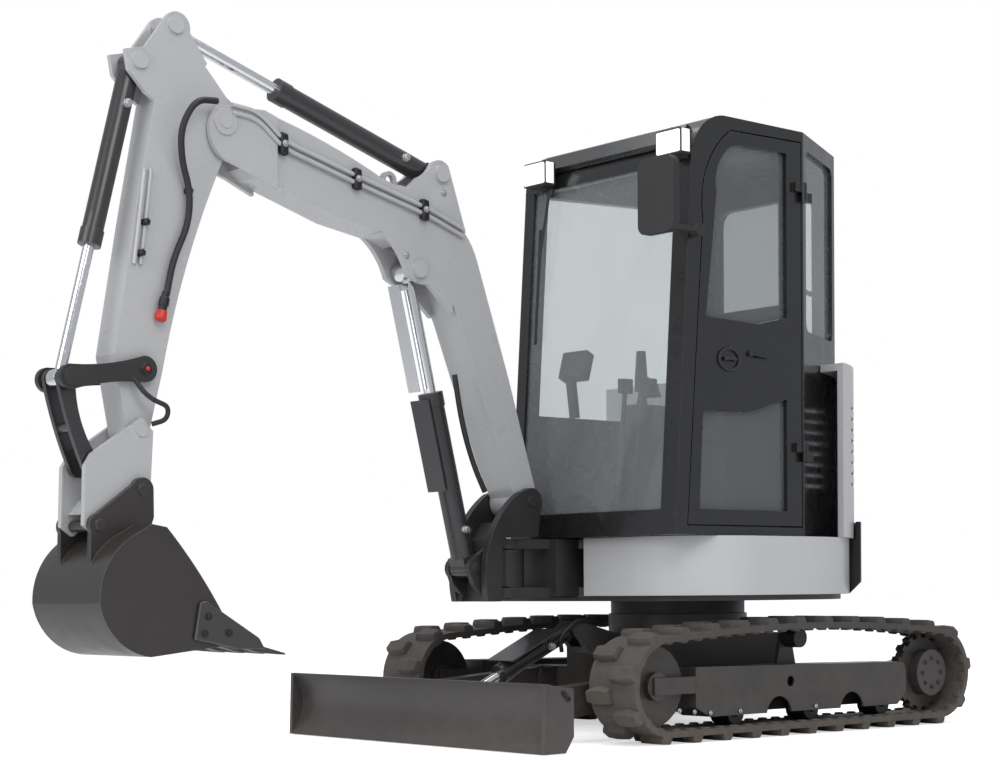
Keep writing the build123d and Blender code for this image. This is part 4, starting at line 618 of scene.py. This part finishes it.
# Steel pipes on the boom's left face, with clamps
boomPipes = []
for shift in (0.0, 0.028):
    boomPipes.append(pipeMesh([at(2.262, -0.022, 2.36 - shift), at(2.15, -0.022, 2.352 - shift),
                               at(2.037, -0.024, 2.262 - shift), at(1.7, -0.026, 2.175 - shift),
                               at(1.348, -0.026, 2.09 - shift), at(1.17, -0.03, 2.03 - shift)], 0.0085, 0.05))
piece("boomPipes", joined(boomPipes, "boomPipes"), paleBoomPaint, "boom", True)
clamps = []
for x, z in ((2.037, 2.249), (1.7, 2.162), (1.373, 2.083)):
    spot = at(x, -0.04, z)
    clamps.append(plateMesh([spot + Vector((-0.016, 0, -0.042)), spot + Vector((0.016, 0, -0.036)),
                             spot + Vector((0.016, 0, 0.042)), spot + Vector((-0.016, 0, 0.036))],
                            left, 0.03, 0.004))
piece("boomPipeClamps", joined(clamps, "clamps"), boltBlack, "boom")
boomBolts = [(at(x, -0.0105, z), left) for x, z in ((2.037, 2.249), (1.7, 2.162), (1.373, 2.083))]
boomBolts += [(at(1.262, -0.04, 2.165), left), (at(1.452, -0.04, 1.9), left)]
repeated("boomBolts", hexHead(0.018, 0.011), boomBolts, boltZinc, "boom")

# Black hoses: boom cylinder, boom nose to arm, coupler
hoses = {
    "boomCylinderHose": ("boom", [at(1.223, -0.03, 1.45), at(1.2, -0.024, 1.3), at(1.173, -0.022, 1.195),
                                  at(1.122, -0.026, 1.077), at(1.07, -0.03, 0.99)], 0.011),
    "auxiliaryHose": ("arm", [at(2.335, -0.01, 2.36), at(2.44, 0.02, 2.345), at(2.5, 0.012, 2.24),
                              at(2.478, -0.02, 2.13), at(2.438, -0.03, 2.03), at(2.442, -0.035, 1.915),
                              at(2.51, -0.035, 1.772), at(2.536, -0.035, 1.65)], 0.012),
    "couplerHose": ("arm", [at(2.68, -0.04, 1.36), at(2.64, 0.0, 1.28), at(2.56, 0.01, 1.25),
                            at(2.56, -0.005, 1.205), at(2.6, -0.04, 1.19)], 0.009),
}
for name, (body, points, radius) in hoses.items():
    piece(name, pipeMesh(points, radius, 0.06, 12), hoseRubber, body, True)
armPipes = [pipeMesh([at(2.585 + shift, -0.052, 2.09), at(2.6 + shift, -0.05, 1.98),
                      at(2.632 + shift, -0.05, 1.75)], 0.008, 0.03) for shift in (0.0, 0.026)]
piece("armPipes", joined(armPipes, "armPipes"), paleBoomPaint, "arm", True)
armClamps = [turnedMesh([(0, 0.014), (0.028, 0.014), (0.034, 0.009)], at(x, -0.058, z), left, 6)
             for x, z in ((2.614, 1.9), (2.436, 2.03), (2.634, 1.79))]
piece("armClamps", joined(armClamps, "armClamps"), boltBlack, "arm")
couplingPlace = at(2.538, -0.035, 1.66)
couplingWay = (0.25, 0, -1)
coupling = turnedMesh([(0, 0.014), (0.02, 0.014), (0.022, 0.019), (0.05, 0.019), (0.052, 0.015),
                       (0.07, 0.015)], couplingPlace, couplingWay, 16)
piece("armCoupling", coupling, boltBlack, "arm", True)
cap = turnedMesh([(0.07, 0.019), (0.074, 0.022), (0.1, 0.022), (0.108, 0.014)],
                 couplingPlace, couplingWay, 16)
piece("couplingCap", cap, redCap, "arm", True)
print("pipes and hoses done")

# Pin ends with red centres: place x and z, the face that carries them and the body
earFace = boomY + 0.098
pinEnds = {
    "rocker": (2.628, 1.382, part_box("rocker")[1][1], "rocker"),
    "ear_low": (2.66, 0.957, earFace, "bucket"),
    "ear_high": (2.832, 0.829, earFace, "bucket"),
}
for name, (x, z, face, body) in pinEnds.items():
    rim = turnedMesh([(-0.002, 0.02), (0.004, 0.02), (0.006, 0.016)], at(x, face, z), left, 20)
    piece("pinEnd_" + name, rim, boltBlack, body, True)
    centre = turnedMesh([(0.005, 0.008), (0.009, 0.008), (0.011, 0.005)], at(x, face, z), left, 16)
    piece("pinCentre_" + name, centre, redCap, body, True)

# Side cutters bolted to the bucket's cheeks
for side, word in ((1, "left"), (-1, "right")):
    y = boomY + side * 0.24
    way = (0, side, 0)
    outline = [at(x, y, z) for x, z in ((2.515, 0.56), (2.49, 0.565), (2.27, 0.43), (2.245, 0.388),
                                        (2.36, 0.392), (2.54, 0.43))]
    piece("sideCutter_" + word, plateMesh(outline, way, 0.014, 0.003), toothSteel, "bucket")
    repeated("cutterBolts_" + word, hexHead(0.02, 0.012),
             [(at(x, y + side * 0.014, z), way) for x, z in ((2.485, 0.51), (2.4, 0.45), (2.5, 0.45))],
             boltBlack, "bucket")
print("bucket done")

# Lamp lenses in the two front lamps
lenses = []
for y in (0.655, -0.125):
    middle = at(0.704, y, 2.322)
    front = [(-0.064, -0.043), (0.064, -0.043), (0.064, 0.043), (-0.064, 0.043)]
    lenses.append(plateMesh([middle + Vector((0, a, b)) for a, b in front], (1, 0, 0), 0.008, 0.004))
    outer = middle + Vector((-0.022, 0.0715, 0))
    end = [(-0.018, -0.043), (0.024, -0.043), (0.024, 0.043), (-0.018, 0.043)]
    lenses.append(plateMesh([outer + Vector((a, 0, b)) for a, b in end], left, 0.003, 0.0012))
piece("lampLenses", joined(lenses, "lenses"), lampLens, "upper")
glassPlace = at(0.799, 0.71, 2.095)
glassCorners = [(-0.08, -0.13), (0.08, -0.13), (0.08, 0.13), (-0.08, 0.13)]
mirrorGlass = plateMesh([glassPlace + Vector((0, a, b)) for a, b in glassCorners], (-1, 0, 0), 0.003, 0.001)
piece("mirrorGlass", mirrorGlass, mirrorSilver, "upper")


def screenX(z):
    return 0.727 - 0.0696 * (z - 0.805)


# Wiper on the front screen
wiper = joined([
    pipeMesh([at(screenX(2.24) + 0.02, -0.1, 2.24), at(screenX(2.0) + 0.028, -0.13, 2.0),
              at(screenX(1.86) + 0.022, -0.14, 1.86)], 0.006, 0.02, 8),
    pipeMesh([at(screenX(2.1) + 0.014, -0.15, 2.1), at(screenX(1.86) + 0.014, -0.15, 1.86),
              at(screenX(1.62) + 0.014, -0.15, 1.62)], 0.007, 0.02, 6),
    turnedMesh([(0, 0.02), (0.018, 0.02), (0.024, 0.012)], at(screenX(2.25) + 0.002, -0.1, 2.25),
               (1, 0, 0), 16),
], "wiper")
piece("screenWiper", wiper, cabPlastic, "upper", True)

# Door handle in its oval bowl, with the latch lever
ring = []
for k in range(28):
    angle = 2 * math.pi * k / 28
    ring.append(at(0.42 + 0.058 * math.cos(angle), 0.704, 1.499 + 0.042 * math.sin(angle)))
ring.append(ring[0])
handle = joined([pipeMesh(ring, 0.006, 0.004, 8),
                 pipeMesh([at(0.385, 0.706, 1.499), at(0.42, 0.716, 1.503), at(0.452, 0.706, 1.499)],
                          0.008, 0.01, 8)], "handle")
piece("doorHandle", handle, cabPlastic, "door", True)
latch = joined([pipeMesh([at(0.3, 0.708, 1.53), at(0.25, 0.716, 1.523), at(0.19, 0.708, 1.523)],
                         0.007, 0.01, 8),
                turnedMesh([(-0.004, 0.012), (0.008, 0.012)], at(0.3, 0.702, 1.53), left, 12)], "latch")
piece("doorLatch", latch, boltBlack, "door", True)

# Grab handle inside the cab
grab = pipeMesh([at(-0.16, 0.56, 2.18), at(-0.13, 0.5, 2.17), at(-0.2, 0.48, 2.0), at(-0.26, 0.5, 1.85),
                 at(-0.24, 0.56, 1.83)], 0.011, 0.03, 10)
piece("grabHandle", grab, cabPlastic, "upper", True)

# Lever boots with folds
boots = []
for y in (-0.02, 0.36):
    folds = []
    for k in range(11):
        folds.append((k * 0.008, 0.042 - 0.0022 * k + (0.004 if k % 2 else -0.003)))
    boots.append(turnedMesh(folds, at(0.13, y, 1.42), (0, 0, 1), 20))
piece("leverBoots", joined(boots, "boots"), hoseRubber, "upper", True)
print("cab pieces done")

# Seat: crowned cushion and backrest with raised side bolsters, in place of the plain CAD seat


def cushionMesh(low, high, axis):
    form = bmesh.new()
    count = 22
    grid = {}
    size = [high[i] - low[i] for i in range(3)]
    flat = [i for i in range(3) if i != axis]
    for top in (0, 1):
        for i in range(count + 1):
            for j in range(count + 1):
                a, b = i / count, j / count
                edge = min(a, 1 - a, b, 1 - b)
                ease = min(edge / 0.12, 1)
                ease = math.sin(ease * math.pi / 2)
                channel = abs(math.sin(a * math.pi * 4)) ** 0.35 if 0.2 < b < 0.8 else 1
                bolster = 1 if b < 0.2 or b > 0.8 else 0.82
                spot = [0, 0, 0]
                spot[flat[0]] = low[flat[0]] + size[flat[0]] * a
                spot[flat[1]] = low[flat[1]] + size[flat[1]] * b
                if top:
                    share = 0.45 + 0.55 * ease * bolster * (0.9 + 0.1 * channel)
                else:
                    share = 0.4 - 0.4 * ease
                spot[axis] = low[axis] + size[axis] * share
                grid[top, i, j] = form.verts.new(spot)
    for top in (0, 1):
        for i in range(count):
            for j in range(count):
                form.faces.new((grid[top, i, j], grid[top, i + 1, j], grid[top, i + 1, j + 1],
                                grid[top, i, j + 1]))
    rim = [(i, 0) for i in range(count)] + [(count, j) for j in range(count)]
    rim += [(i, count) for i in range(count, 0, -1)] + [(0, j) for j in range(count, 0, -1)]
    for k in range(len(rim)):
        a, b = rim[k], rim[(k + 1) % len(rim)]
        form.faces.new((grid[0, a[0], a[1]], grid[0, b[0], b[1]], grid[1, b[0], b[1]], grid[1, a[0], a[1]]))
    mesh = bpy.data.meshes.new("cushion")
    form.to_mesh(mesh)
    form.free()
    return mesh


seatLow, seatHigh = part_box("seat")
cushion = cushionMesh((at(-0.34, 0, 0).x, -0.03, seatLow[2]), (at(0.1, 0, 0).x, 0.37, 1.285), 2)
backrest = cushionMesh((at(-0.39, 0, 0).x, -0.02, 1.29), (at(-0.25, 0, 0).x, 0.36, seatHigh[2]), 0)
pads = piece("seatPads", joined([cushion, backrest], "seatPads"), seatCloth, "upper", True)
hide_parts("seat")
print("seat done")

# Motor cover bolts and small plugs in the rails of both tracks
sprocketLow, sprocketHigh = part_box("sprockets")
for side, word in ((1, "left"), (-1, "right")):
    face = sprocketHigh[1] if side > 0 else sprocketLow[1]
    turns = [k * math.pi / 4 for k in range(8)]
    rim = [(at(tread["sprocketX"] + 0.062 * math.cos(angle), face, tread["wheelZ"] + 0.062 * math.sin(angle)),
            (0, side, 0)) for angle in turns]
    repeated("motorBolts_" + word, hexHead(0.014, 0.007), rim, boltBlack, "undercarriage")
    railFace = side * 0.7255
    plugPlaces = [(0.39, 0.107), (-0.066, 0.107), (0.735, 0.123), (0.652, 0.115), (0.562, 0.107)]
    plugs = [(at(x, railFace, z), (0, side, 0)) for x, z in plugPlaces]
    repeated("railPlugs_" + word, hexHead(0.014, 0.006), plugs, boltZinc, "undercarriage")

# Blade hoses beside the blade cylinder
bladeHose = pipeMesh([at(0.55, 0.06, 0.46), at(0.66, 0.07, 0.47), at(0.76, 0.07, 0.4), at(0.74, 0.06, 0.34)],
                     0.009, 0.04, 10)
piece("bladeHose", bladeHose, hoseRubber, "undercarriage", True)
print("bolts done")

print("scene done")
